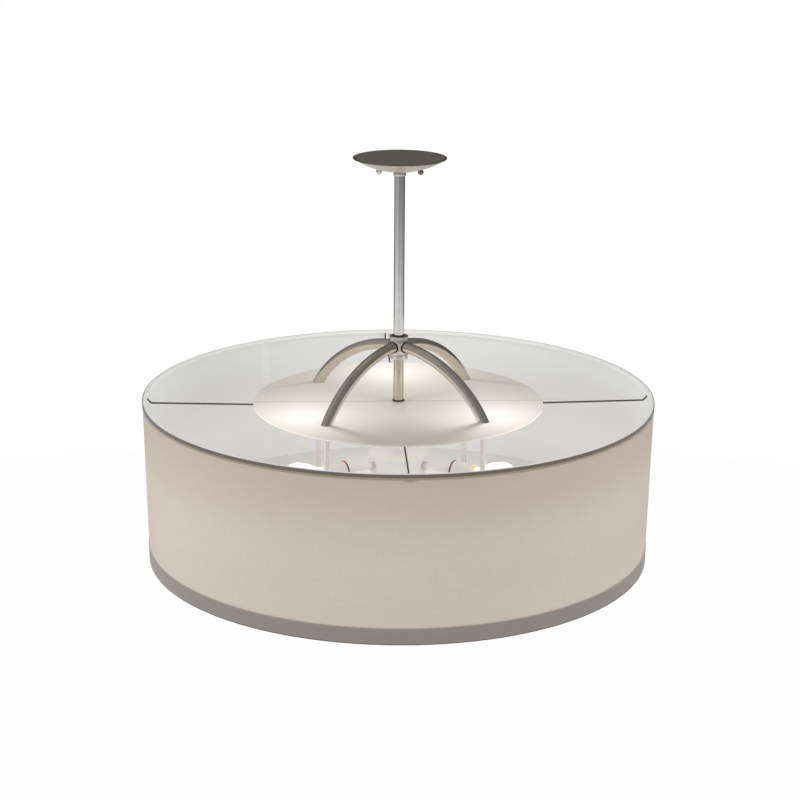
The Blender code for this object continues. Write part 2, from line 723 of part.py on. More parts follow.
def make_spider():
    """The welded frame that carries the shade: a ring in the rim, four wires and a washer on the nipple."""
    ring_z = top_ring_z()
    ring_radius = shade_radius(ring_z, RING_INSET)
    wire_z = WASHER_TOP_Z - WIRE_RADIUS
    knee = ring_radius - WIRE_KNEE_INSET
    knee_z = RIM_Z - WIRE_KNEE_DROP
    washer_radius = NIPPLE_BORE + SPIDER_WASHER_WALL
    route = [
        (washer_radius - OVERRUN, wire_z),
        (DISC_RADIUS, wire_z),
        (knee - WIRE_KNEE_LENGTH, knee_z),
        (knee, knee_z),
        (ring_radius, ring_z),
    ]
    spider = wire_ring("shade_spider", ring_z)
    washer_bottom = WASHER_TOP_Z - SPIDER_WASHER_HEIGHT
    join(spider, tube("spider_washer", washer_radius, NIPPLE_BORE, WASHER_TOP_Z, washer_bottom, dark_wire()))
    for number in range(WIRE_COUNT):
        angle = WIRE_TURN + math.tau * number / WIRE_COUNT
        join(spider, wire(f"wire_{number + 1}", route, angle))


def wire(name, route, angle):
    """A wire in the upright plane at an angle, through (radius, height) points, its rings square to it."""
    outward = polar(1, angle)
    side = Vector((-outward.y, outward.x, 0))
    points = [outward * radius + Vector((0, 0, height)) for radius, height in route]
    rings = []
    for i, point in enumerate(points):
        before = points[max(i - 1, 0)]
        after = points[min(i + 1, len(points) - 1)]
        heading = (after - before).normalized()
        rings.append(circle_at(point, side, heading.cross(side), WIRE_RADIUS, WIRE_SIDES))
    return lofted(name, rings, dark_wire())


def corner(radius, height, size, start, end):
    """Points of a rounded corner about (radius, height), from one angle to another."""
    angles = spread(start, end, CORNER_POINTS)
    return [(radius + size * math.cos(a), height + size * math.sin(a)) for a in angles]


def make_cluster_cap():
    """The white cover round the nipple, and the pressed cap under it."""
    tube("cluster_pipe", CLUSTER_PIPE_RADIUS, NIPPLE_BORE, PIPE_TOP_Z, CAP_TOP_Z + GAP, white_enamel())
    skirt_z = CAP_TOP_Z - CAP_SKIRT
    middle = (CAP_RADIUS - CAP_CORNER, CAP_TOP_Z - CAP_CORNER)
    cap = [(NIPPLE_BORE, CAP_TOP_Z)]
    cap += corner(*middle, CAP_CORNER, QUARTER, 0)
    cap += [(CAP_RADIUS, skirt_z), (CAP_RADIUS - CLUSTER_WALL, skirt_z)]
    cap += corner(*middle, CAP_CORNER - CLUSTER_WALL, 0, QUARTER)
    cap += [(NIPPLE_BORE, CAP_TOP_Z - CLUSTER_WALL)]
    turned("cluster_cap", cap, white_enamel(), CANOPY_STEPS)


def make_cluster_cup():
    """The cup that fits up into the cap, with a port for each lamp's nipple."""
    rim_z = CAP_TOP_Z - CAP_CORNER
    floor_z = CAP_TOP_Z - CUP_HEIGHT
    middle = (CUP_RADIUS - CUP_CORNER, floor_z + CUP_CORNER)
    cup = [(0, floor_z + CLUSTER_WALL)]
    cup += corner(*middle, CUP_CORNER - CLUSTER_WALL, -QUARTER, 0)
    cup += [(CUP_RADIUS - CLUSTER_WALL, rim_z), (CUP_RADIUS, rim_z)]
    cup += corner(*middle, CUP_CORNER, 0, -QUARTER)
    cup += [(0, floor_z)]
    body = turned("cluster_cup", cup, white_enamel(), CANOPY_STEPS)
    for number, angle in enumerate(lamp_angles(), 1):
        cutter = drill(f"port_{number}", LAMP_BORE, CUP_RADIUS, CUP_RADIUS - CLUSTER_WALL)
        aim(cutter, angle)
        cut(body, cutter)


def lamp_angles():
    return [ARM_TURN + LAMP_FROM_ARM + math.tau * i / LAMP_COUNT for i in range(LAMP_COUNT)]


def aim(piece, angle, origin=0):
    """Lays a piece that was made along Z on a lamp's axis, its origin a distance out on that axis."""
    cutters = [change.object for change in piece.modifiers]
    for part in [piece, *cutters]:
        part.data.transform(Matrix.Translation((0, 0, -origin)))
        part.rotation_euler = (0, QUARTER, angle)
        part.location = polar(origin, angle, LAMP_Z)


def make_lamp_holder(number, angle):
    """What holds one bulb, along its own axis: a nut, a threaded tube, a red end ring and the socket."""
    nut = hex_nut(
        f"lamp_nut_{number}",
        LAMP_BORE,
        LAMP_NUT_WALL,
        LAMP_NUT_END,
        CUP_RADIUS + GAP,
        white_enamel(),
        SMALL_STEPS,
    )
    nipple_end = SOCKET_START + LAMP_NIPPLE_IN_SOCKET
    nipple = tube(
        f"lamp_nipple_{number}",
        LAMP_NIPPLE_RADIUS,
        LAMP_NIPPLE_RADIUS - LAMP_NIPPLE_WALL,
        nipple_end,
        CUP_RADIUS - CLUSTER_WALL - LAMP_NIPPLE_INSIDE,
        white_enamel(),
        SMALL_STEPS,
    )
    ring_end = SOCKET_START - GAP
    ring = tube(
        f"socket_end_ring_{number}",
        SOCKET_RADIUS + END_RING_OVERHANG,
        LAMP_BORE,
        ring_end,
        ring_end - END_RING_HEIGHT,
        red_fibre(),
    )
    profile = [
        (0, CONTACT_START - GAP),
        (BASE_BORE, CONTACT_START - GAP),
        (BASE_BORE, SOCKET_END),
        (SOCKET_RADIUS - SOCKET_EDGE, SOCKET_END),
        (SOCKET_RADIUS, SOCKET_END - SOCKET_EDGE),
        (SOCKET_RADIUS, SOCKET_START),
        (LAMP_BORE, SOCKET_START),
        (LAMP_BORE, nipple_end + GAP),
        (0, nipple_end + GAP),
    ]
    socket = turned(f"socket_{number}", profile, socket_plastic())
    for piece in (nut, nipple, ring, socket):
        aim(piece, angle)


def globe_skin(wall):
    """Outline of a pear-shaped bulb less a wall, from its round end to its straight neck."""
    radius = GLOBE_RADIUS - wall
    neck = BASE_RADIUS + NECK_STEP - wall
    centre = SOCKET_END + GLOBE_CENTRE
    neck_end = SOCKET_END + 2 * GAP + NECK_LENGTH
    latitudes = spread(QUARTER, GLOBE_END_LATITUDE, GLOBE_RINGS + 1)
    points = [(radius * math.cos(a), centre + radius * math.sin(a)) for a in latitudes[1:]]
    ball_radius, ball_end = points[-1]
    for i in range(1, NECK_RINGS + 1):
        share = i / (NECK_RINGS + 1)
        ease = (1 + math.cos(math.pi * share)) / 2
        points.append((neck + (ball_radius - neck) * ease, ball_end + (neck_end - ball_end) * share))
    return [(0, centre + radius), *points, (neck, neck_end), (neck, neck_end - NECK_LENGTH)]


def make_bulb(number, angle):
    """A bulb in three pieces: centre contact, screw shell and glass. It unscrews along the lamp's axis."""
    base_end = SOCKET_END + GAP
    shoulder = BASE_START + BASE_TAPER
    base = [
        (BASE_RADIUS - BASE_WALL, base_end),
        (BASE_RADIUS, base_end),
        (BASE_RADIUS, shoulder),
        (BASE_TIP_RADIUS, BASE_START),
        (BASE_TIP_RADIUS - BASE_WALL, BASE_START),
        (BASE_RADIUS - BASE_WALL, shoulder),
    ]
    contact_end = CONTACT_START + CONTACT_HEIGHT
    glass = globe_skin(0) + globe_skin(GLOBE_WALL)[::-1]
    pieces = [
        turned(f"bulb_base_{number}", base, nickel_brass()),
        solid_round(f"bulb_contact_{number}", CONTACT_RADIUS, contact_end, CONTACT_START, nickel_brass()),
        turned(f"bulb_globe_{number}", glass, lit_glass(), GLOBE_STEPS),
    ]
    for piece in pieces:
        aim(piece, angle, BASE_START)


def hang_from_swivel(fixed):
    """Parents all but the fixed objects to an empty at the swivel's centre, so its turn tilts the fixture."""
    pivot = bpy.data.objects.new("hang_pivot", None)
    pivot.location.z = SWIVEL_Z
    for piece in list(bpy.data.objects):
        if piece in fixed or piece == pivot:
            continue
        piece.parent = pivot
        piece.matrix_parent_inverse = Matrix.Translation((0, 0, -SWIVEL_Z))
    bpy.context.scene.collection.objects.link(pivot)


def main():
    clear_scene()
    make_ceiling_plate()
    make_ball_nuts()
    make_canopy()
    make_swivel_seat()
    fixed = list(bpy.data.objects)
    make_swivel_ball()
    make_stem()
    make_hub()
    for number, angle in enumerate(arm_angles(), 1):
        make_arm(number, angle)
        make_rod(number, angle)
        make_diffuser_nut(number, angle)
    make_lower_stem()
    make_reflector_disc()
    make_bottom_diffuser()
    make_cluster_cap()
    make_cluster_cup()
    for number, angle in enumerate(lamp_angles(), 1):
        make_lamp_holder(number, angle)
        make_bulb(number, angle)
    make_spider()
    make_shade()
    hang_from_swivel(fixed)


main()
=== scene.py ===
"""A drum shade chandelier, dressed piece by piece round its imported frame, from the ceiling down."""

import math

import bmesh
import bpy
import numpy as np
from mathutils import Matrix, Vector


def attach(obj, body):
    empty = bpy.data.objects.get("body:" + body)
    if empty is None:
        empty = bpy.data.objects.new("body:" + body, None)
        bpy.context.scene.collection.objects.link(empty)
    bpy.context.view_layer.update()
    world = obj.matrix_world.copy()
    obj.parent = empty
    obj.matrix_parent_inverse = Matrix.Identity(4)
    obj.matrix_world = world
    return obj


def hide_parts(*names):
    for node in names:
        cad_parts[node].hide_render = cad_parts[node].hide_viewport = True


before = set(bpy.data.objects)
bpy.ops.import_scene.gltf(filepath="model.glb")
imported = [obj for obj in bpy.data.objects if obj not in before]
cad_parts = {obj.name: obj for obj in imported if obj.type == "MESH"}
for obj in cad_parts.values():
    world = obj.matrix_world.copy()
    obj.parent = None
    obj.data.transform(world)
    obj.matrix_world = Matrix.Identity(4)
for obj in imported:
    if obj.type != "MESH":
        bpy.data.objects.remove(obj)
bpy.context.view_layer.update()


# Camera: a long lens 3.6 m away and a metre above the shade's rim, looking down into the drum. It is turned
# by a third of a degree, and its shift is only what the framing needs.
camera_data = bpy.data.cameras.new("camera")
camera_data.lens = 93.95
camera_data.shift_x = 0.0021
camera = bpy.data.objects.new("camera", camera_data)
camera.location = (0, -3.5966, 0.6279)
camera.rotation_mode = "ZYX"
camera.rotation_euler = (math.radians(90 - 16.527), 0, math.radians(0.38))
bpy.context.scene.collection.objects.link(camera)
bpy.context.scene.camera = camera
bpy.context.scene.view_settings.view_transform = "Standard"


# Studio: a pale room and floor. The eye and glass see them white, metal sees soft bands of grey, and three
# large soft lamps light the piece from both sides and from behind.
class Signal:
    """A node's output. An operator on it adds the Math node that works the sum out."""

    def __init__(self, nodes, socket):
        self.nodes = nodes
        self.socket = socket

    def beside(self, output):
        """Another output of the same node."""
        return Signal(self.nodes, self.socket.node.outputs[output])

    def math(self, operation, *values):
        return self.nodes.add("ShaderNodeMath", {"operation": operation}, dict(enumerate(values)))

    def __add__(self, other):
        return self.math("ADD", self, other)

    def __sub__(self, other):
        return self.math("SUBTRACT", self, other)

    def __rsub__(self, other):
        return self.math("SUBTRACT", other, self)

    def __mul__(self, other):
        return self.math("MULTIPLY", self, other)

    def __abs__(self):
        return self.math("ABSOLUTE", self)

    __radd__ = __add__
    __rmul__ = __mul__

    def most(self, other):
        return self.math("MAXIMUM", self, other)

    def step(self, low, high):
        """0 below low and 1 above high, with an eased way between."""
        sockets = {"Value": self, "From Min": low, "From Max": high}
        return self.nodes.add("ShaderNodeMapRange", {"interpolation_type": "SMOOTHSTEP"}, sockets)


class Nodes:
    """The nodes of a material or a world."""

    def __init__(self, owner):
        owner.use_nodes = True
        self.tree = owner.node_tree

    def add(self, kind, settings, sockets, output=0):
        """A node of a kind: its settings are set first, then the values or links of its sockets."""
        node = self.tree.nodes.new(kind)
        for key, value in settings.items():
            setattr(node, key, value)
        self.feed(node, sockets)
        return Signal(self, node.outputs[output])

    def feed(self, node, sockets):
        for key, value in sockets.items():
            if isinstance(value, Signal):
                self.tree.links.new(value.socket, node.inputs[key])
            else:
                node.inputs[key].default_value = value


world = bpy.data.worlds.new("studio")
bpy.context.scene.world = world
room = Nodes(world)
sight = room.add("ShaderNodeLightPath", {}, {}, "Is Camera Ray")
towards = room.add("ShaderNodeTexCoord", {}, {}, "Generated")
x_part = room.add("ShaderNodeSeparateXYZ", {}, {"Vector": towards}, "X")
y_part, z_part = x_part.beside("Y"), x_part.beside("Z")
side = abs(x_part).step(0.30, 0.85)
left = 1 - x_part.step(-0.8, 0.8)
behind = y_part.step(0.10, 0.70) * z_part.step(-0.50, -0.25) * (1 - 0.85 * z_part.step(0.0, 0.35))
low = 1 - z_part.step(-0.40, 0.05)
reflected = (0.18 + 0.42 * low + 0.14 * left) * (1 - 0.8 * behind) * (1 - 0.25 * x_part.step(0.78, 0.97))
reflected = reflected * (0.72 + 0.28 * abs(x_part).step(0.08, 0.30))
lighting = (0.56 + 0.26 * side + 0.10 * left) * (1 - 0.22 * z_part.step(0.0, 0.9))
glossy = sight.beside("Is Glossy Ray")
clear = sight.most(sight.beside("Is Transmission Ray"))
strength = clear + (1 - clear) * (glossy * reflected + (1 - glossy) * lighting)
room.feed(world.node_tree.nodes["Background"], {"Color": (1, 1, 1, 1), "Strength": strength})

FLOOR_Z = -3.4
FLOOR_RADIUS = 9.0
rim = np.exp(1j * np.linspace(0, math.tau, 97)[:-1]) * FLOOR_RADIUS
floor_mesh = bpy.data.meshes.new("floor")
floor_mesh.from_pydata(np.stack([rim.real, rim.imag, np.full(96, FLOOR_Z)], 1), [], [range(96)])
floor = bpy.data.objects.new("floor", floor_mesh)
bpy.context.scene.collection.objects.link(floor)
paint = bpy.data.materials.new("pale_floor")
floor_nodes = Nodes(paint)
seen = floor_nodes.add("ShaderNodeLightPath", {}, {}, "Is Camera Ray")
seen = seen.most(seen.beside("Is Glossy Ray")).most(seen.beside("Is Transmission Ray"))
matt_paint = paint.node_tree.nodes["Principled BSDF"]
floor_nodes.feed(matt_paint, {"Base Color": (0.86, 0.86, 0.86, 1), "Roughness": 0.9})
glow = floor_nodes.add("ShaderNodeEmission", {}, {"Color": (1, 1, 1, 1), "Strength": 1.0})
matt = Signal(floor_nodes, matt_paint.outputs[0])
mixed = floor_nodes.add("ShaderNodeMixShader", {}, {0: seen * 0.97, 1: matt, 2: glow})
floor_nodes.feed(paint.node_tree.nodes["Material Output"], {"Surface": mixed})
floor_mesh.materials.append(paint)

for number, (across, depth, power) in enumerate([(-2.4, -1.7, 27), (2.4, -1.7, 24), (0, 2.2, 16)], 1):
    lamp_data = bpy.data.lights.new(f"softbox_{number}", "AREA")
    lamp_data.energy = power
    lamp_data.size = 1.6
    lamp = bpy.data.objects.new(f"softbox_{number}", lamp_data)
    lamp.location = (across, depth, 0.1)
    lamp.rotation_mode = "QUATERNION"
    aim = Vector((0, 0, -0.45)) - lamp.location
    lamp.rotation_quaternion = aim.to_track_quat("-Z", "Y")
    lamp.visible_glossy = False
    bpy.context.scene.collection.objects.link(lamp)


# Ceiling plate: a flat steel disc with a dull dark coat. Two box screws hold it up, and two welded studs
# carry the canopy. Tight plastic plugs fill the punched holes until it is hung, and a strip edges the canopy.
class Finish(Nodes):
    """A named material round one Principled shader."""

    def __init__(self, name, constants):
        self.material = bpy.data.materials.new(name)
        super().__init__(self.material)
        self.shader = self.tree.nodes["Principled BSDF"]
        self.feed(self.shader, constants)

    def where(self, scale=(1, 1, 1), place="Object", turn=0.0):
        """The piece's own coordinates in metres, turned about Z and scaled."""
        spot = self.add("ShaderNodeTexCoord", {}, {}, place)
        sockets = {"Vector": spot, "Scale": scale, "Rotation": (0, 0, turn)}
        return self.add("ShaderNodeMapping", {}, sockets)

    def axis(self, name, place=None):
        """One coordinate of the piece's own place, or of another vector."""
        return self.add("ShaderNodeSeparateXYZ", {}, {"Vector": place or self.where()}, name)

    def noise(self, vector, detail=2.0, roughness=0.5):
        sockets = {"Vector": vector, "Scale": 1.0, "Detail": detail, "Roughness": roughness}
        return self.add("ShaderNodeTexNoise", {}, sockets)

    def tint(self, factor, first, second):
        """A colour from first, at factor 0, to second, at factor 1."""
        return self.add("ShaderNodeMix", {"data_type": "RGBA"}, {0: factor, 6: first, 7: second}, 2)

    def bump(self, height, distance, strength=1.0):
        sockets = {"Height": height, "Distance": distance, "Strength": strength}
        return self.add("ShaderNodeBump", {}, sockets)

    def shade(self, sockets):
        self.feed(self.shader, sockets)
        return self.material

    def coated(self, colour, roughness, normal):
        """The material, with the three sockets fed that vary over every piece."""
        return self.shade({"Base Color": colour, "Roughness": roughness, "Normal": normal})


def srgb(red, green, blue):
    """The linear colour of a screen colour in 0 to 255."""
    screen = np.array([red, green, blue]) / 255
    linear = np.where(screen <= 0.04045, screen / 12.92, ((screen + 0.055) / 1.055) ** 2.4)
    return (*linear.tolist(), 1.0)


def eased(corners, points=5):
    """A profile through (radius, height, size) corners. Each corner gives way to a quadratic curve
    (1 - t)^2 start + 2 t (1 - t) corner + t^2 end, which starts and ends its size away from the corner."""
    corners = np.array(corners, float)
    places, sizes = corners[:, :2], corners[:, 2:]
    back = np.roll(places, 1, 0) - places
    ahead = np.roll(places, -1, 0) - places
    start = places + sizes * back / np.linalg.norm(back, axis=1, keepdims=True)
    end = places + sizes * ahead / np.linalg.norm(ahead, axis=1, keepdims=True)
    t = np.linspace(0, 1, points)[:, None, None]
    curve = (1 - t) ** 2 * start + 2 * t * (1 - t) * places + t**2 * end
    return curve.transpose(1, 0, 2).reshape(-1, 2)


def spun(profile, steps=96):
    """A grid from (radius, height) points carried round the Z axis: x = r cos a, y = r sin a, z = height.
    The first column is at the back."""
    angles = math.pi / 2 + math.tau * np.arange(steps) / steps
    radii, heights = np.asarray(profile, float).T
    flat = radii[:, None, None] * np.stack([np.cos(angles), np.sin(angles)], 1)
    level = np.broadcast_to(heights[:, None, None], (len(radii), steps, 1))
    return np.concatenate([flat, level], 2)


EDGE_ANGLE = 38


def make_piece(name, grids, material, body, replaces=(), joined_rows=False, sharp=EDGE_ANGLE):
    """A mesh over grids of points. Row i and column j give the quad (i, j), (i + 1, j), (i + 1, j + 1),
    (i, j + 1), and the last column joins the first. The UV map is metres round and metres along."""
    points, faces, marks, count = [], [], [], 0
    for grid in grids:
        rows, columns = grid.shape[:2]
        i, j = np.indices((rows - (not joined_rows), columns))
        down = np.stack([i, i + 1, i + 1, i], -1).reshape(-1, 4)
        over = np.stack([j, j, j + 1, j + 1], -1).reshape(-1, 4)
        lengths = [np.linalg.norm(np.roll(grid, -1, k) - grid, axis=2).mean(1 - k) for k in (0, 1)]
        along, around = (np.concatenate([[0], np.cumsum(step)]) for step in lengths)
        faces.append(down % rows * columns + over % columns + count)
        marks.append(np.stack([around[over], along[down]], -1))
        points.append(grid.reshape(-1, 3))
        count += rows * columns
    mesh = bpy.data.meshes.new(name)
    mesh.from_pydata(np.concatenate(points), [], np.concatenate(faces))
    layer = mesh.uv_layers.new(name="metres")
    layer.data.foreach_set("uv", np.concatenate(marks).ravel())
    shape = bmesh.new()
    shape.from_mesh(mesh)
    bmesh.ops.remove_doubles(shape, verts=shape.verts, dist=1e-6)
    bmesh.ops.recalc_face_normals(shape, faces=shape.faces)
    shape.to_mesh(mesh)
    shape.free()
    mesh.shade_smooth()
    mesh.set_sharp_from_angle(angle=math.radians(sharp))
    mesh.materials.append(material)
    piece = bpy.data.objects.new(name, mesh)
    bpy.context.scene.collection.objects.link(piece)
    if body:
        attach(piece, body)
        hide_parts(*replaces)
    return piece


def cut_away(piece, tools, operation="DIFFERENCE"):
    """Cuts other closed pieces out of one, or joins them to it, and leaves its mesh plain."""
    for tool in tools:
        change = piece.modifiers.new(tool.name, "BOOLEAN")
        change.object = tool
        change.operation = operation
        change.solver = "EXACT"
    bpy.context.view_layer.update()
    result = piece.evaluated_get(bpy.context.evaluated_depsgraph_get())
    mesh = bpy.data.meshes.new_from_object(result)
    piece.modifiers.clear()
    piece.data = mesh
    mesh.set_sharp_from_angle(angle=math.radians(EDGE_ANGLE))
    for tool in tools:
        bpy.data.objects.remove(tool)


def moved(grid, place):
    return grid + np.array(place, float)


def rod_grid(radius, top, bottom, edge=0.0, steps=96):
    return spun(eased([(0, top, 0), (radius, top, edge), (radius, bottom, edge), (0, bottom, 0)]), steps)


def dark_coat():
    coat = Finish("dark_plate_coat", {"Specular IOR Level": 0.25})
    grain = coat.noise(coat.where((900, 900, 900)), 4)
    patches = coat.noise(coat.where((38, 38, 38)), 3)
    colour = coat.tint(grain * 0.5 + patches * 0.5, srgb(100, 94, 86), srgb(114, 108, 100))
    return coat.coated(colour, 0.60 + 0.16 * patches, coat.bump(grain, 0.00004))


CANOPY_RADIUS, CANOPY_DEPTH = 0.0820, 0.0242
STUD_REACH, STUD_TURN, BALL_NUT_RADIUS = 0.0365, math.radians(-5), 0.0050
dish_sphere = (CANOPY_RADIUS**2 + CANOPY_DEPTH**2) / (2 * CANOPY_DEPTH)
dish_centre = dish_sphere - CANOPY_DEPTH
STUD_LINE = np.array([math.cos(STUD_TURN), math.sin(STUD_TURN), 0]) * STUD_REACH
nut_z = dish_centre - math.sqrt((dish_sphere + BALL_NUT_RADIUS + 0.0001) ** 2 - STUD_REACH**2)
plate_rim = [(0, 0, 0), (0.0790, 0, 0.0004), (0.0757, -0.0020, 0.0004), (0, -0.0020, 0)]
coat = dark_coat()
plate = make_piece("plate_disc", [spun(eased(plate_rim), 160)], coat, "")
across = np.array([-STUD_LINE[1], STUD_LINE[0], 0]) / STUD_REACH
drills = [(0.0024, 0.04445), (0.0024, -0.04445), (0.0065, 0.0250)]
bits = [moved(rod_grid(drill, 0.002, -0.004, 0, 40), across * place) for drill, place in drills]
cut_away(plate, [make_piece(f"drill_{number}", [bit], coat, "") for number, bit in enumerate(bits)])
stud = rod_grid(0.0020, -0.0010, nut_z - 0.002, 0.0003, 32)
studs = [make_piece(f"stud_{side}", [moved(stud, STUD_LINE * side)], coat, "") for side in (-1, 1)]
cut_away(plate, studs, "UNION")
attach(plate, "canopy_mount")
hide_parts("ceiling_plate")
rim_strip = eased([(0.0798, 0, 0), (0.0821, 0, 0.0003), (0.0818, -0.0012, 0.0003), (0.0803, -0.0012, 0)])
make_piece("rim_strip", [spun(rim_strip, 160)], coat, "canopy_mount", (), True)
for number, (drill, place) in enumerate(drills, 1):
    plug = moved(rod_grid(drill - 0.00005, 0, -0.0018, 0.00005, 48), across * place)
    make_piece(f"hole_plug_{number}", [plug], coat, "canopy_mount", ())


# Canopy: a shallow dish spun from steel and plated with satin nickel, brushed round its axis. Two ball nuts
# on the plate's studs clamp it up, and the swivel's collar comes out through the hole in its middle.
def satin_nickel(name, dark, light, rough=0.27, edge=0.35, relief=0.3):
    """Nickel plate brushed round the piece: noise drawn out round it, so that it changes along it."""
    nickel = Finish(name, {"Metallic": 1.0, "Specular Tint": (edge, edge, edge, 1)})
    strokes = nickel.noise(nickel.where((45, 2300, 1), "UV"), 3, 0.6)
    broad = nickel.noise(nickel.where((12, 420, 1), "UV"), 2)
    wear = nickel.noise(nickel.where((26, 26, 26)), 2)
    colour = nickel.tint(0.3 * strokes + 0.5 * broad + 0.2 * wear, dark, light)
    normal = nickel.bump(strokes, 0.00003, relief)
    roughness = rough + 0.10 * strokes + 0.08 * wear
    return nickel, {"Base Color": colour, "Roughness": roughness, "Normal": normal}


def dish_height(radius, sphere):
    """Height of the dish at a radius, on a sphere round the dish's centre."""
    return dish_centre - np.sqrt(sphere**2 - radius**2)


nickel, sockets = satin_nickel("canopy_nickel", srgb(222, 216, 207), srgb(234, 229, 221), 0.22, 0.6, 0.08)
# Painted reflection: darker towards the dish's right end, and warm cream in a narrow band under the stem.
x_place = nickel.axis("X")
middle = abs(x_place).step(0.003, 0.013)
colour = nickel.tint(0.6 * x_place.step(0.025, 0.075), sockets["Base Color"], srgb(128, 126, 122))
sockets["Base Color"] = nickel.tint(0.2 + 0.8 * middle, srgb(255, 234, 212), colour)
canopy_nickel = nickel.shade(sockets)
DISH_HOLE, DISH_WALL = 0.0149, 0.0012
outward = np.linspace(CANOPY_RADIUS, DISH_HOLE, 44)
inward = np.linspace(DISH_HOLE, 0.0798, 30)
canopy_profile = np.concatenate([
    [(0.0812, 0.0), (0.0817, -0.0001)],
    np.stack([outward, dish_height(outward, dish_sphere) - 0.0004 * (outward > 0.0819)], 1),
    np.stack([inward, dish_height(inward, dish_sphere - DISH_WALL)], 1),
    [(0.0801, 0.0)],
])
dish = [spun(canopy_profile, 160)]
make_piece("canopy_dish", dish, canopy_nickel, "canopy_mount", ["canopy"], True)

nickel, sockets = satin_nickel("ball_nut_nickel", srgb(214, 206, 196), srgb(244, 239, 232), 0.16, 0.5)
# Painted shade: pieces in this finish turn darker and browner towards +X, on the right.
painted_shade_right = nickel.axis("X").step(-0.02, 0.03)
sockets["Base Color"] = nickel.tint(painted_shade_right, sockets["Base Color"], srgb(148, 132, 114))
ball_nickel = nickel.shade(sockets)
tilt = np.linspace(math.radians(62), -math.pi / 2, 30)
ball = BALL_NUT_RADIUS * np.stack([np.cos(tilt), np.sin(tilt)], 1)
ball = np.concatenate([[(0, ball[0, 1])], ball])
for number, side in ((1, -1), (2, 1)):
    grid, node = moved(spun(ball, 48), STUD_LINE * side + (0, 0, nut_z)), f"ball_nut_{number}"
    make_piece(f"ball_nut_ball_{number}", [grid], ball_nickel, "canopy_mount", [node])


# Swivel: a cup, a washer and a ball, turned from steel and zinc plated, which let the stem hang straight.
# They sit inside the dish with the stem's lock nut. The nipple and nut at the discs are plated alike.
def plain_plating(name, dark, light, rough):
    """Bright plate on turned steel, with tool marks round it and a few dull spots."""
    plate = Finish(name, {"Metallic": 1.0})
    marks = plate.noise(plate.where((70, 70, 1900)), 2)
    spots = plate.noise(plate.where((240, 240, 240)), 3)
    colour = plate.tint(0.5 * marks + 0.5 * spots, dark, light)
    return plate.coated(colour, rough + 0.2 * spots, plate.bump(marks, 0.00003))


def dress(material, *names):
    for name in names:
        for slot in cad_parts[name].material_slots:
            slot.link = "OBJECT"
            slot.material = material


zinc = plain_plating("zinc_plate", srgb(150, 150, 148), srgb(198, 198, 194), 0.28)
dress(zinc, "swivel_cup", "swivel_washer", "swivel_ball", "stem_lock_nut", "centre_nipple", "disc_lock_nut")


# Stem: a long steel tube in satin nickel, screwed into the ball at its top and the hub at its foot. A collar
# sits under the ball, and a black rubber ring seals it where it enters the hub.
def band(inner, outer, top, bottom, upper_size, lower_size, inside=0.0002):
    """The square section of a ring, with its four corners eased."""
    corners = [(inner, top, inside), (outer, top, upper_size), (outer, bottom, lower_size)]
    return eased([*corners, (inner, bottom, inside)])


nickel, sockets = satin_nickel("stem_nickel", srgb(234, 232, 230), srgb(248, 246, 243), 0.05, 0.2, 0.1)
# Painted shade: the stem's colour darkens towards its top.
upper = nickel.axis("Z").step(-0.33, -0.06)
sockets["Base Color"] = nickel.tint(0.85 * upper, sockets["Base Color"], srgb(216, 216, 218))
stem_nickel = nickel.shade(sockets)
stem = eased([(0, -0.0042, 0), (0.0093, -0.0042, 0.0006), (0.0093, -0.3303, 0.0006), (0, -0.3303, 0)])
make_piece("stem_tube", [spun(stem, 72)], stem_nickel, "fixture", ["stem"])
collar = [spun(band(0.0096, 0.0111, -0.0267, -0.0314, 0.0005, 0.0009), 72)]
make_piece("collar_ring", collar, canopy_nickel, "fixture", ["stem_collar"], True)


def black_rubber():
    rubber = Finish("black_ring", {"Specular IOR Level": 0.35})
    dust = rubber.noise(rubber.where((420, 420, 420)), 4)
    colour = rubber.tint(dust, srgb(30, 28, 25), srgb(62, 58, 52))
    return rubber.coated(colour, 0.5 + 0.25 * dust, rubber.bump(dust, 0.00005))


rubber = black_rubber()
hub_ring = band(0.0096, 0.0117, -0.3184, -0.3205, 0.0008, 0.0004)
make_piece("hub_seal", [spun(hub_ring, 72)], rubber, "fixture", ["hub_ring"], True)


# Hub: a round block cast in nickel silver, with a flange round the black ring and a lobed foot. The arms go
# into round recesses, with painted shade inside them, and leave waisted webs between them.
ARM_TURN = math.radians(50.2)
ARM_Z, ARM_FOOT_Z, BEND = -0.3380, -0.4409, 0.2327
SWEEP = math.acos(1 - 0.1032 / BEND)
arm_turns = ARM_TURN + math.tau * np.arange(4) / 4


def ahead(turn):
    """The level unit vector at an angle."""
    return np.array([math.cos(turn), math.sin(turn), 0.0])


def carried(centres, across, radius, sides=40):
    """Rings of a radius round a line of centres in an upright plane. With a as the angle round, each ring is
    centre + radius (cos a across + sin a normal), where the normal is square to the line and to across."""
    headings = np.gradient(centres, axis=0)
    normals = np.cross(headings, across)
    normals /= np.linalg.norm(normals, axis=1, keepdims=True)
    angles = math.tau * np.arange(sides) / sides
    circle = np.cos(angles)[:, None] * across
    return centres[:, None] + radius * (circle + np.sin(angles)[:, None] * normals[:, None])


def closed(rings):
    """The rings, with a row at the middle of the first and of the last."""
    ends = [np.broadcast_to(ring.mean(0), ring.shape)[None] for ring in (rings[0], rings[-1])]
    return np.concatenate([ends[0], rings, ends[1]])


def square_to(turn):
    return np.array([-math.sin(turn), math.cos(turn), 0.0])


def resampled(profile, count):
    """The same line through a profile, as points at an even spacing."""
    length = np.concatenate([[0], np.cumsum(np.linalg.norm(np.diff(profile, axis=0), axis=1))])
    even = np.linspace(0, length[-1], count)
    return np.stack([np.interp(even, length, column) for column in profile.T], 1)


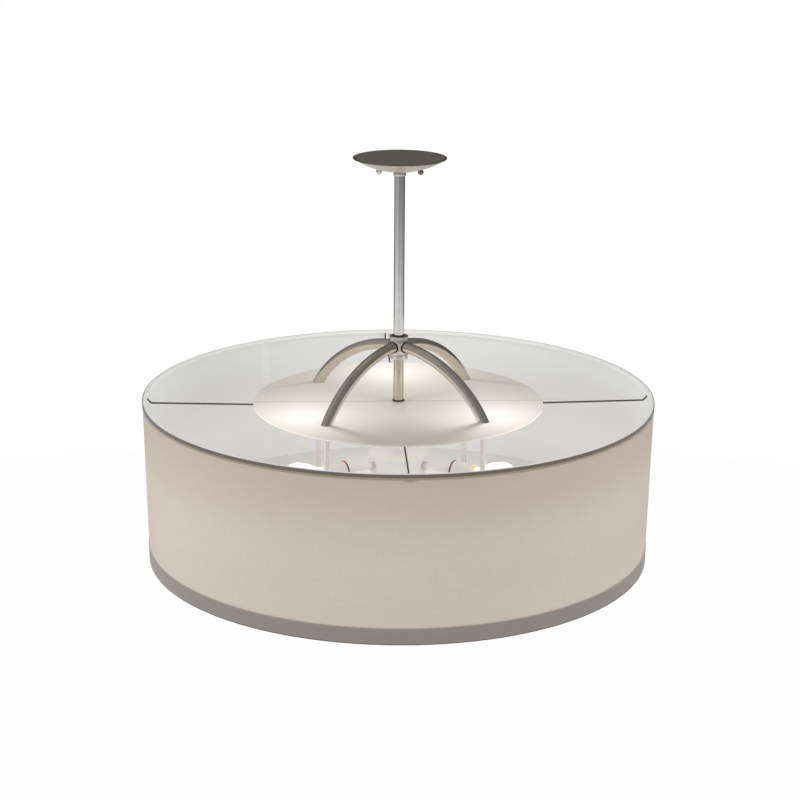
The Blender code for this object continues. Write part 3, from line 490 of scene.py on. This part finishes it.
def recessed(grid, opening, floor):
    """The hub's outline with a recess at each arm, and how deep each point is in one. With q the distance
    from the nearest arm's line, the radius falls to the floor's as q falls through the opening's radius."""
    radius = np.hypot(grid[..., 0], grid[..., 1])
    turn = np.arctan2(grid[..., 1], grid[..., 0]) - ARM_TURN
    turn = (turn + math.pi / 4) % (math.pi / 2) - math.pi / 4
    q = np.hypot(radius * np.sin(turn), grid[..., 2] - ARM_Z + radius**2 / (2 * BEND))
    share = np.clip((opening + 0.0003 - q) / 0.0006, 0, 1) * (radius > floor)
    share = share**2 * (3 - 2 * share)
    scale = 1 + share * (floor / np.maximum(radius, 1e-9) - 1)
    return grid * np.stack([scale, scale, np.ones_like(scale)], 2), share


def vertices_of(piece):
    """The piece's vertices, as one row of x, y and z each."""
    places = np.zeros(len(piece.data.vertices) * 3, np.float32)
    piece.data.vertices.foreach_get("co", places)
    return places.reshape(-1, 3).astype(float)


def mark(piece, name, values):
    """Stores a number at every vertex, as the piece's attribute."""
    layer = piece.data.attributes.new(name, "FLOAT", "POINT")
    layer.data.foreach_set("value", values.astype(np.float32))


nickel, sockets = satin_nickel("hub_nickel", srgb(216, 213, 207), srgb(242, 239, 233), 0.24, 0.5)
cast = nickel.noise(nickel.where((520, 520, 520)), 3)
sockets["Normal"] = nickel.bump(cast, 0.00025, 0.7)
# Painted shade: the faces inside each arm's recess are coloured near black.
inside = nickel.add("ShaderNodeAttribute", {"attribute_name": "recess"}, {}, "Fac")
sockets["Base Color"] = nickel.tint(inside, sockets["Base Color"], srgb(30, 27, 24))
hub_nickel = nickel.shade(sockets)
hub_profile = eased([
    (0, -0.3192, 0), (0.0168, -0.3192, 0.0012), (0.0168, -0.3248, 0.0016), (0.0176, -0.3300, 0.0030),
    (0.0176, -0.3460, 0.0030), (0.0158, -0.3512, 0.0016), (0.0164, -0.3545, 0.0016),
    (0.0160, -0.3614, 0.0024), (0, -0.3614, 0),
])
hub_grid, share = recessed(spun(resampled(hub_profile, 220), 288), 0.0106, 0.0124)
lobes = np.arctan2(hub_grid[..., 1], hub_grid[..., 0])
lobes = 1 + 0.014 * np.cos(12 * (lobes - ARM_TURN)) * np.clip((-0.3525 - hub_grid[..., 2]) / 0.008, 0, 1)
hub_grid *= np.stack([lobes, lobes, np.ones_like(lobes)], 2)
hub = make_piece("hub_block", [hub_grid], hub_nickel, "fixture", ["hub"], sharp=60)
mark(hub, "recess", recessed(vertices_of(hub)[None], 0.0102, 0.0120)[1].ravel())
# A dark ring round each arm's root, put where there is only shade in the gap of its recess.
shadow_ring_reach = np.array([0.0121, 0.0146, 0.0171])
for number, turn in enumerate(arm_turns, 1):
    line = ahead(turn) * shadow_ring_reach[:, None] + (0, 0, ARM_Z)
    line[:, 2] -= shadow_ring_reach**2 / (2 * BEND)
    shadow_ring = closed(carried(line, square_to(turn), 0.0091, 48))
    make_piece(f"arm_shadow_ring_{number}", [shadow_ring], rubber, "fixture", ())


# Arms: four steel tubes in satin nickel, bent to one arc, level at the hub and cut flat at the foot. Each is
# pushed into its recess in the hub, and a rod screws into its foot.
nickel, sockets = satin_nickel("arm_nickel", srgb(210, 201, 188), srgb(236, 228, 215), 0.20, 0.7, 0.6)
arm_nickel = nickel.shade(sockets)
for number, turn in enumerate(arm_turns, 1):
    bend = np.linspace(math.asin(0.0167 / BEND), SWEEP - 0.0105 / BEND, 72)
    line = ahead(turn) * (BEND * np.sin(bend))[:, None]
    line[:, 2] = ARM_Z - BEND * (1 - np.cos(bend))
    rings = carried(line, square_to(turn), 0.0095)
    heading = ahead(turn) * math.cos(SWEEP) - (0, 0, math.sin(SWEEP))
    foot = rings[-1] + heading * ((ARM_FOOT_Z - rings[-1, :, 2]) / heading[2])[:, None]
    tube = closed(np.concatenate([rings, foot[None]]))
    make_piece(f"arm_tube_{number}", [tube], arm_nickel, "fixture", [f"arm_{number}"])


# Lower stem: a short tube in satin nickel from the hub to the upper disc. It stands on a black rubber ring
# and a thin plated washer, which spread its load on the acrylic.
nickel, sockets = satin_nickel("lower_stem_nickel", srgb(202, 189, 172), srgb(236, 223, 206), 0.12, 0.4)
lower_nickel = nickel.shade(sockets)
lower = eased([(0, -0.3542, 0), (0.0090, -0.3542, 0.0005), (0.0090, -0.4376, 0.0005), (0, -0.4376, 0)])
make_piece("lower_stem_tube", [spun(lower, 72)], lower_nickel, "fixture", ["lower_stem"])
seal = band(0.0067, 0.0106, -0.4378, -0.4394, 0.0007, 0.0005)
make_piece("stem_seal", [spun(seal, 72)], rubber, "fixture", ["stem_gasket"], True)
washer = band(0.0067, 0.0108, -0.4395, -0.4410, 0.0004, 0.0003)
make_piece("stem_washer", [spun(washer, 72)], lower_nickel, "fixture", (), True)


# Upper disc: opal acrylic, sawn round and polished. The three bulbs below shine through it, and the rods,
# sockets and cluster under it leave soft shadows. The wires of the shade lie against it and show as lines.
LAMP_Z = -0.5545293
lamp_turns = np.radians([92.0, 212.0, 332.0])
GLOBE_REACH, GLOBE_RADIUS, CORE_RADIUS = 0.2072, 0.0300, 0.0095
ROD_REACH, CAP_RADIUS, CAP_TOP = 0.1933, 0.0536, -0.5355
GOLDEN_ANGLE = 2.39996


def placed(turn, reach, height):
    """The point at an angle, a distance out from the axis and a height."""
    return ahead(turn) * reach + (0, 0, height)


def gap_between(start, end, first, last):
    """Least distance from the lines start-end to the line first-last, all of them with ends. The nearest
    points solve two linear equations, and each is then kept between its ends."""
    a, b, r = end - start, last - first, start - first
    aa, ab, bb = (a * a).sum(-1), (a * b).sum(-1), (b * b).sum()
    ar, br = (a * r).sum(-1), (b * r).sum(-1)
    s = np.clip((ab * br - ar * bb) / np.maximum(aa * bb - ab**2, 1e-12), 0, 1)
    t = np.clip((ab * s + br) / bb, 0, 1)
    s = np.clip((ab * t - ar) / aa, 0, 1)
    return np.linalg.norm(r + s[..., None] * a - t[..., None] * b, axis=-1)


def bulb_light(places, samples=36):
    """Share of the bulbs' brightness that reaches points on a level disc: the sum over points of each bulb's
    bright core of the cosine over the distance squared, where no rod, socket, pipe or cap stands between."""
    spiral = np.arange(samples) + 0.5
    rise = 1 - 2 * spiral / samples
    ring, turn = np.sqrt(1 - rise**2), spiral * GOLDEN_ANGLE
    ball = np.stack([ring * np.cos(turn), ring * np.sin(turn), rise], 1)
    posts = [(placed(t, ROD_REACH, -0.44), placed(t, ROD_REACH, -0.67), 0.0048) for t in arm_turns]
    posts += [(placed(0, 0, -0.44), placed(0, 0, -0.57), 0.0100)]
    posts += [(placed(t, 0.117, LAMP_Z), placed(t, 0.150, LAMP_Z), 0.0180) for t in lamp_turns]
    total = np.zeros(len(places))
    for lamp in lamp_turns:
        source = placed(lamp, GLOBE_REACH - 0.010, LAMP_Z) + ball * CORE_RADIUS
        end = np.broadcast_to(source, (len(places), samples, 3))
        start = places[:, None]
        way = end - start
        far = np.linalg.norm(way, axis=-1)
        share = np.abs(way[..., 2]) / far**3
        for first, last, radius in posts:
            share = share * np.clip((gap_between(start, end, first, last) - radius) / 0.001, 0, 1)
        at_cap = start + way * ((CAP_TOP - start[..., 2:]) / (way[..., 2:] + 1e-9))
        crosses = (start[..., 2] - CAP_TOP) * (end[..., 2] - CAP_TOP) < 0
        share = np.where(crosses & (np.hypot(at_cap[..., 0], at_cap[..., 1]) < CAP_RADIUS), 0, share)
        total += share.mean(1) * GLOBE_RADIUS**2
    return total


def opal_acrylic(name, colour, gain, glow, lines, shadow=0.0):
    """Milky acrylic. Its glow is the bulbs' light through it, less by the wires and before the cluster."""
    opal = Finish(name, {"IOR": 1.49, "Emission Strength": 1.0, "Coat Roughness": 0.12})
    cloud = opal.noise(opal.where((9, 9, 9)), 3)
    grain = opal.noise(opal.where((300, 300, 300)), 2)
    shine = opal.add("ShaderNodeAttribute", {"attribute_name": "shine"}, {}, "Fac")
    x_line = opal.axis("X", opal.where(turn=math.radians(-2.5)))
    y_line = x_line.beside("Y")
    # Painted shadows: thin wire lines in the body colour and the glow, and a soft patch before the cluster.
    lit = 1 - lines * (1 - abs(y_line).step(0.0010, 0.0034))
    body = opal.tint(cloud, colour, tuple(0.96 * c for c in colour[:3]) + (1,))
    body = opal.tint(lit, srgb(96, 88, 78), body)
    front = (1 - abs(x_line).step(0.02, 0.15)) * (1 - y_line.step(-0.23, -0.09))
    level = (shine * gain + 0.06) * lit * (1 - shadow * front)
    level = level.math("DIVIDE", 1.17 * level, 1 + 0.22 * level)
    shone = opal.tint(level.math("MINIMUM", level, 1.0), (0, 0, 0, 1), glow)
    sockets = {"Base Color": body, "Emission Color": shone, "Roughness": 0.30 + 0.1 * cloud}
    return opal.shade({**sockets, "Normal": opal.bump(grain, 0.00002, 0.4)})


def disc_outline(hole, radius, flat, top, bottom, out, back):
    """A sawn disc's section: out along its top, round the eased edge, and back along its underside."""
    edge = eased([(hole, top, 0), (radius, top, 0.0008), (radius, bottom, 0.0008), (hole, bottom, 0)])[5:15]
    over = np.stack([np.linspace(hole, flat, out), np.full(out, top)], 1)
    under = np.stack([np.linspace(flat, hole, back), np.full(back, bottom)], 1)
    return np.concatenate([over, edge, under])


disc_opal = opal_acrylic("upper_opal", srgb(204, 194, 182), 8.9, (1.0, 0.955, 0.905, 1), 0.34, 0.5)
disc = [spun(disc_outline(0.0067, 0.2600, 0.2590, -0.4412, -0.4442, 92, 24), 320)]
upper_disc = make_piece("upper_disc", disc, disc_opal, "fixture", ["reflector_disc"], True)
mark(upper_disc, "shine", bulb_light(vertices_of(upper_disc)))


# Lower disc: the same opal acrylic, wider and whiter, which hides the lamps from below. It hangs in the
# bottom of the drum on the four rods' domed nuts.
low_opal = opal_acrylic("lower_opal", srgb(226, 224, 220), 5.0, (1.0, 0.98, 0.95, 1), 0.0)
disc = [spun(disc_outline(0, 0.4477, 0.4460, -0.6707, -0.6737, 48, 48), 240)]
lower_disc = make_piece("lower_disc", disc, low_opal, "fixture", ["bottom_diffuser"])
mark(lower_disc, "shine", bulb_light(vertices_of(lower_disc)))


# Rods: four steel rods in baked white enamel, screwed up into the arms' feet. A thin neck at each end
# passes a disc, and a domed nut in satin nickel holds the lower one.
def white_enamel(name, dark, light, rough=0.3, lift=0.0):
    """Baked enamel: a smooth coat with a faint orange peel, and painted light from bulbs close all round."""
    glow = {"Emission Color": (1, 1, 1, 1), "Emission Strength": lift}
    enamel = Finish(name, {"Coat Weight": 0.25, "Coat Roughness": 0.15, **glow})
    peel = enamel.noise(enamel.where((520, 520, 520)), 2)
    patches = enamel.noise(enamel.where((45, 45, 45)), 3)
    colour = enamel.tint(patches, dark, light)
    return enamel.coated(colour, rough + 0.12 * patches, enamel.bump(peel, 0.00004, 0.5))


enamel = white_enamel("rod_enamel", srgb(226, 222, 214), srgb(242, 240, 235))
rod = eased([
    (0, -0.4342, 0), (0.0030, -0.4342, 0.0003), (0.0030, -0.4445, 0), (0.0048, -0.4445, 0.0006),
    (0.0048, -0.6704, 0.0006), (0.0030, -0.6704, 0), (0.0030, -0.6787, 0.0003), (0, -0.6787, 0),
])
nut = eased([
    (0, -0.6790, 0), (0.0033, -0.6790, 0), (0.0033, -0.6740, 0), (0.0075, -0.6740, 0.0004),
    (0.0075, -0.6781, 0.0008), (0.0066, -0.6818, 0.0022), (0, -0.6835, 0),
])
for number, turn in enumerate(arm_turns, 1):
    place, node = ahead(turn) * ROD_REACH, f"diffuser_nut_{number}"
    shaft, dome = moved(spun(rod, 40), place), moved(spun(nut, 48), place)
    make_piece(f"white_rod_{number}", [shaft], enamel, "fixture", [f"rod_{number}"])
    make_piece(f"domed_nut_{number}", [dome], ball_nickel, "fixture", [node])


# Lamp cluster: a white pipe over the threaded nipple, a cap pressed from sheet, and a cup that closes it
# from below. All three are enamelled steel, held on the nipple one under the other.
white = white_enamel("cluster_enamel", srgb(230, 230, 228), srgb(241, 241, 240), 0.3, 0.07)
pipe = band(0.0067, 0.0095, -0.4531, -0.5353, 0.0006, 0.0008)
make_piece("cluster_sleeve", [spun(pipe, 64)], white, "fixture", ["cluster_pipe"], True)
cap = eased([
    (0.0067, CAP_TOP, 0.0002), (CAP_RADIUS, CAP_TOP, 0.0060), (CAP_RADIUS, -0.5455, 0.0005),
    (0.0524, -0.5455, 0.0004), (0.0524, -0.5367, 0.0048), (0.0067, -0.5367, 0.0002),
], 9)
make_piece("cluster_lid", [spun(cap, 128)], white, "fixture", ["cluster_cap"], True)
cup = eased([
    (0, -0.5743, 0), (0.0509, -0.5743, 0.0045), (0.0509, -0.5385, 0.0003), (0.0521, -0.5385, 0.0003),
    (0.0521, -0.5755, 0.0070), (0, -0.5755, 0),
], 9)
make_piece("cluster_bowl", [spun(cup, 128)], white, "fixture", ["cluster_cup"])


# Lamps: three on the cluster, each on a white threaded tube with a hex nut, a red fibre ring and a moulded
# plastic socket. A frosted glass bulb with a brass shell screws into each.
def laid(grid, turn):
    """A grid that was made along Z, laid along a lamp's axis: its height becomes the distance out."""
    out, over = ahead(turn), square_to(turn)
    x, y, z = np.moveaxis(grid, 2, 0)
    return z[..., None] * out + y[..., None] * over + np.stack([0 * x, 0 * x, LAMP_Z - x], -1)


def threaded(radius, start, end, pitch, depth):
    """A thread's outline, radius - depth (1 - cos(turns)) / 2, as one ring per eighth of a turn."""
    steps = 40
    along = np.linspace(start, end, int(8 * (end - start) / pitch))
    phase = math.tau * (along[:, None] / pitch + np.arange(steps) / steps)
    radii = radius - depth * (1 - np.cos(phase)) / 2
    angles = math.pi / 2 + math.tau * np.arange(steps) / steps
    grid = np.stack([radii * np.cos(angles), radii * np.sin(angles), np.repeat(along[:, None], steps, 1)], -1)
    return closed(grid)


def red_fibre():
    fibre = Finish("red_fibre_sheet", {})
    fleck = fibre.noise(fibre.where((600, 600, 600)), 4)
    colour = fibre.tint(fleck, srgb(122, 42, 26), srgb(152, 62, 40))
    return fibre.coated(colour, 0.55 + 0.2 * fleck, fibre.bump(fleck, 0.00006))


def lit_glass():
    """Frosted glass, lit from inside. It is warm at the neck, where the brass shell colours the light."""
    glass = Finish("lit_bulb_glass", {"Roughness": 0.35, "Emission Strength": 0.9})
    level = glass.add("ShaderNodeVectorMath", {"operation": "MULTIPLY"}, {0: glass.where(), 1: (1, 1, 0)})
    distance = glass.add("ShaderNodeVectorMath", {"operation": "LENGTH"}, {0: level}, 1)
    swirl = glass.noise(glass.where((60, 60, 60)), 2)
    neck = (distance + 0.003 * swirl).step(0.1575, 0.1635)
    colour = glass.tint(neck, (0.70, 0.34, 0.16, 1), (1.0, 0.98, 0.95, 1))
    body = glass.tint(neck, srgb(230, 190, 150), srgb(245, 243, 238))
    return glass.shade({"Base Color": body, "Emission Color": colour})


plastic = white_enamel("socket_plastic", srgb(220, 220, 218), srgb(233, 233, 232), 0.36, 0.03)
nut_white = white_enamel("nut_enamel", srgb(208, 206, 202), srgb(224, 222, 219))
fibre, glass = red_fibre(), lit_glass()
brass = plain_plating("bulb_shell_plate", srgb(176, 160, 126), srgb(214, 200, 164), 0.2)
end_ring = band(0.0053, 0.0188, 0.1118, 0.1141, 0.0004, 0.0004, 0.0001)
socket = eased([
    (0, 0.1306, 0), (0.0136, 0.1306, 0), (0.0136, 0.1527, 0.0004), (0.0180, 0.1527, 0.0014),
    (0.0180, 0.1142, 0.0005), (0.0053, 0.1142, 0), (0.0053, 0.1175, 0), (0, 0.1175, 0),
])
latitude = np.linspace(math.pi / 2, math.radians(-25), 40)
ball = np.stack([GLOBE_RADIUS * np.cos(latitude), GLOBE_REACH + GLOBE_RADIUS * np.sin(latitude)], 1)
share = np.linspace(0, 1, 16)[1:]
NECK_RADIUS = 0.0142
neck_radius = NECK_RADIUS + (ball[-1, 0] - NECK_RADIUS) * (1 + np.cos(math.pi * share)) / 2
neck = np.stack([neck_radius, ball[-1, 1] + (0.1593 - ball[-1, 1]) * share], 1)
globe = np.concatenate([ball, neck, [(NECK_RADIUS, 0.1533), (0.0128, 0.1533), (0, 0.1540)]])
tube = threaded(0.0050, 0.0439, 0.1172, 0.0016, 0.0004)
lamp_pieces = [
    ("lamp_pipe", tube, white, "lamp_nipple", "white_enamel", False),
    ("fibre_ring", spun(end_ring, 64), fibre, "socket_end_ring", "red_fibre", True),
    ("lamp_socket", spun(socket, 72), plastic, "socket", "socket_plastic", False),
    ("bulb_glass", spun(globe, 72), glass, "bulb_globe", "lit_glass", False),
]
for number, turn in enumerate(lamp_turns, 1):
    for name, grid, material, node, slot, joined_rows in lamp_pieces:
        body = f"bulb_{number}" if node == "bulb_globe" else "fixture"
        grids, nodes = [laid(grid, turn)], [f"{node}_{number}"]
        make_piece(f"{name}_{number}", grids, material, body, nodes, joined_rows)
    dress(nut_white, f"lamp_nut_{number}")
    dress(brass, f"bulb_base_{number}", f"bulb_contact_{number}")


# Wire frame: a hoop in the shade's top edge, four straight wires that dip to it, and the washer that sits
# on the nipple under the disc. It is welded from dark steel wire. A second hoop stiffens the hem.
def dark_wire():
    wire = Finish("dark_steel_wire", {"Metallic": 0.7})
    scale = wire.noise(wire.where((160, 160, 160)), 4)
    colour = wire.tint(scale, srgb(84, 77, 62), srgb(122, 114, 97))
    return wire.coated(colour, 0.38 + 0.2 * scale, wire.bump(scale, 0.00005))


SHADE_RADIUS, SHADE_TOP, TAPER = 0.4572, -0.4277, 0.0055 / 0.2945
HOOP_Z, HEM_HOOP_Z, HOOP_INSET, HOOP_THICK = -0.4307, -0.7192, 0.0050, 0.0022


def drum_radius(height, inset):
    """Radius of the tapered drum at a height, less the layers outside it."""
    return SHADE_RADIUS - TAPER * (SHADE_TOP - height) - inset


def hoop(height):
    """A wire ring in the drum, with a as the angle round the wire: r + thick cos a, height + thick sin a."""
    a = math.tau * np.arange(16) / 16
    radii = drum_radius(height, HOOP_INSET) + HOOP_THICK * np.cos(a)
    return spun(np.stack([radii, height + HOOP_THICK * np.sin(a)], 1), 288)


steel = dark_wire()
hoop_radius = drum_radius(HOOP_Z, HOOP_INSET)
knees = eased([
    (0.0130, -0.4460, 0), (0.2600, -0.4460, 0.0100), (hoop_radius - 0.0150, -0.4422, 0.0040),
    (hoop_radius - 0.0095, -0.4422, 0.0035), (hoop_radius, HOOP_Z, 0),
], 7)
wires = []
for k in range(4):
    turn = math.radians(2.5 + 90 * k + (k == 1))
    line = ahead(turn) * knees[:, :1]
    line[:, 2] = knees[:, 1]
    keep = np.concatenate([[True], np.linalg.norm(np.diff(line, axis=0), axis=1) > 1e-5])
    wires.append(closed(carried(line[keep], square_to(turn), 0.0015, 16)))
frame_washer = spun(band(0.0067, 0.0150, -0.4445, -0.4475, 0.0004, 0.0004, 0), 64)
make_piece("shade_wires", wires, steel, "fixture", ["shade_spider"])
make_piece("top_hoop", [hoop(HOOP_Z)], steel, "fixture", (), True)
make_piece("wire_washer", [frame_washer], steel, "fixture", (), True)
make_piece("hem_wire", [hoop(HEM_HOOP_Z)], steel, "fixture", ["shade_bottom_ring"], True)


# Liner: a sheet of white styrene rolled into the drum, smooth on the inside. Its ends overlap in a narrow
# strip, where they are glued.
SHEET_TOP, SHEET_BOTTOM = -0.4285, -0.7214


def drum_layer(outer, inner, rows):
    """A sheet's closed section: down the outer face and up the inner one."""
    down = np.linspace(SHEET_TOP, SHEET_BOTTOM, rows)
    up = np.linspace(SHEET_BOTTOM, SHEET_TOP, rows)
    faces = ((down, outer), (up, inner))
    return np.concatenate([np.stack([drum_radius(height, inset), height], 1) for height, inset in faces])


def white_styrene(name, dark, light):
    """White sheet with a soft cloud in it. The bulbs' light stays in it, most at their own height."""
    styrene = Finish(name, {"Specular IOR Level": 0.4, "Emission Strength": 1.0})
    cloud = styrene.noise(styrene.where((7, 7, 7)), 3)
    fine = styrene.noise(styrene.where((260, 260, 260)), 2)
    colour = styrene.tint(cloud, dark, light)
    high = styrene.axis("Z").step(-0.62, -0.43)
    glow = styrene.tint(high, (0.165, 0.165, 0.17, 1), (0.070, 0.070, 0.073, 1))
    sockets = {"Base Color": colour, "Emission Color": glow, "Roughness": 0.46 + 0.1 * cloud}
    return styrene.shade({**sockets, "Normal": styrene.bump(fine, 0.00003, 0.4)})


styrene = white_styrene("white_styrene", srgb(228, 229, 229), srgb(234, 235, 234))
liner = [spun(drum_layer(0.0017, 0.0025, 14), 320)]
make_piece("liner_drum", liner, styrene, "fixture", ["shade_liner"], True)
lap_start, lap_end = np.radians(125.3) + np.array([-0.0085, 0.0085]) / 0.4545
lap_corners = [(lap_start, 0.00252), (lap_end, 0.00252), (lap_end, 0.0028), (lap_start, 0.0028)]
lap = [[placed(turn, drum_radius(z, inset), z) for turn, inset in lap_corners] for z in (-0.4330, -0.7165)]
lap_white = white_styrene("lap_styrene", srgb(231, 232, 231), srgb(237, 238, 236))
make_piece("liner_lap", [closed(np.array(lap))], lap_white, "fixture", ())


# Shade: natural linen in a plain weave with uneven threads. It is glued flat to the liner, and its edges
# go under the tapes.
def linen():
    """Plain weave, sin(u) sin(v) at the threads' pitch, with slubs from noise drawn out both ways. It has
    painted shade towards the top tape, and a painted shadow of a pucker where a wire's end sits under it."""
    pitch = 0.0013
    cloth = Finish("natural_linen", {
        "Sheen Weight": 0.04, "Sheen Roughness": 0.5, "Specular IOR Level": 0.15,
    })
    upright = cloth.noise(cloth.where((1100, 26, 1), "UV"), 2)
    level = cloth.noise(cloth.where((26, 1100, 1), "UV"), 2)
    patch = cloth.noise(cloth.where((5, 14, 1), "UV"), 3)
    u = cloth.axis("X", cloth.where((math.tau / pitch,) * 3, "UV"))
    weave = u.math("SINE", u) * u.math("SINE", u.beside("Y"))
    slub = 0.35 * upright + 0.45 * level + 0.2 * patch
    colour = cloth.tint(slub.step(0.25, 0.75), srgb(203, 191, 179), srgb(214, 203, 191))
    spot = cloth.axis("X")
    height, front = spot.beside("Z"), 1 - spot.beside("Y").step(-0.1, 0.0)
    # Painted shade: darker towards the top tape, and a dark spot at the front where a pucker's shadow falls.
    colour = cloth.tint(0.5 * height.step(-0.58, -0.43), colour, srgb(177, 161, 148))
    pucker_shadow = (1 - abs(spot - 0.0195).step(0.002, 0.016)) * height.step(-0.4425, -0.4378) * front
    colour = cloth.tint(0.5 * pucker_shadow, colour, srgb(112, 104, 95))
    normal = cloth.bump(0.5 * slub + 0.2 * weave, 0.0002, 0.35)
    return cloth.coated(colour, 0.86 + 0.1 * slub, normal)


fabric = [spun(drum_layer(0.0008, 0.0014, 30), 360)]
cloth = make_piece("linen_drum", fabric, linen(), "fixture", ["shade_fabric"], True)


# Tapes: a narrow dark tape round the outside of the top edge, with a white binding turned in over the hoop,
# and a broad grey satin tape folded round the hem.
def tape(name, dark, light, edges):
    """A ribbed ribbon: ribs across it at their pitch, sin(u), and edge bands, each as the two heights
    between which the colour gives way to the edge's. On the hem they are painted shadow and highlight."""
    pitch = 0.0009
    ribbon = Finish(name, {"Sheen Weight": 0.5, "Sheen Roughness": 0.4, "Specular IOR Level": 0.3})
    thread = ribbon.noise(ribbon.where((900, 60, 1), "UV"), 2)
    level = ribbon.noise(ribbon.where((12, 700, 1), "UV"), 2)
    u = ribbon.axis("X", ribbon.where((math.tau / pitch,) * 3, "UV"))
    relief = 0.4 * u.math("SINE", u) + thread
    colour = ribbon.tint(0.5 * thread + 0.5 * level, dark, light)
    height = ribbon.axis("Z")
    for start, end, edge_colour in edges:
        colour = ribbon.tint(height.step(start, end), colour, edge_colour)
    return ribbon.coated(colour, 0.66 + 0.16 * level, ribbon.bump(relief, 0.0001, 0.4))


def folded(corners):
    """A tape's section from (inset, height, size) corners, carried round the drum."""
    return [spun(eased([(drum_radius(z, inset), z, size) for inset, z, size in corners], 4), 360)]


top_tape = tape("dark_tape", srgb(96, 90, 82), srgb(118, 111, 102), [(-0.4328, -0.4342, srgb(158, 144, 124))])
# Painted shadow along the hem's lower edge, and a painted highlight along its upper fold.
hem_tape = tape("hem_tape", srgb(134, 127, 123), srgb(153, 146, 141), [
    (-0.7202, -0.7210, srgb(92, 84, 76)), (-0.6938, -0.6930, srgb(178, 168, 157)),
])
binding_tape = white_styrene("white_binding", srgb(234, 234, 232), srgb(240, 240, 238))
outer = folded([
    (0, SHADE_TOP, 0.0004), (0, -0.4372, 0.0002), (0.0005, -0.4372, 0.0001), (0.0005, -0.4283, 0),
    (0.0016, -0.4283, 0), (0.0016, SHADE_TOP, 0.0002),
])
tape_piece = make_piece("rim_tape", outer, top_tape, "fixture", ["top_trim"], True)
inner = folded([
    (0.0017, SHADE_TOP, 0), (0.0017, -0.4282, 0), (0.0075, -0.4282, 0.0002), (0.0075, -0.4336, 0.0001),
    (0.0080, -0.4336, 0.0001), (0.0080, SHADE_TOP, 0.0005),
])
binding = make_piece("rim_binding", inner, binding_tape, "fixture", ["top_trim"], True)
hem = folded([
    (0, -0.6922, 0.0002), (0, -0.7222, 0.0005), (0.0080, -0.7222, 0.0005), (0.0080, -0.7170, 0.0002),
    (0.0075, -0.7170, 0.0002), (0.0075, -0.7217, 0.0002), (0.0005, -0.7217, 0.0002),
    (0.0005, -0.6922, 0.0002),
])
hem_piece = make_piece("hem_tape", hem, hem_tape, "fixture", ["bottom_trim"], True)
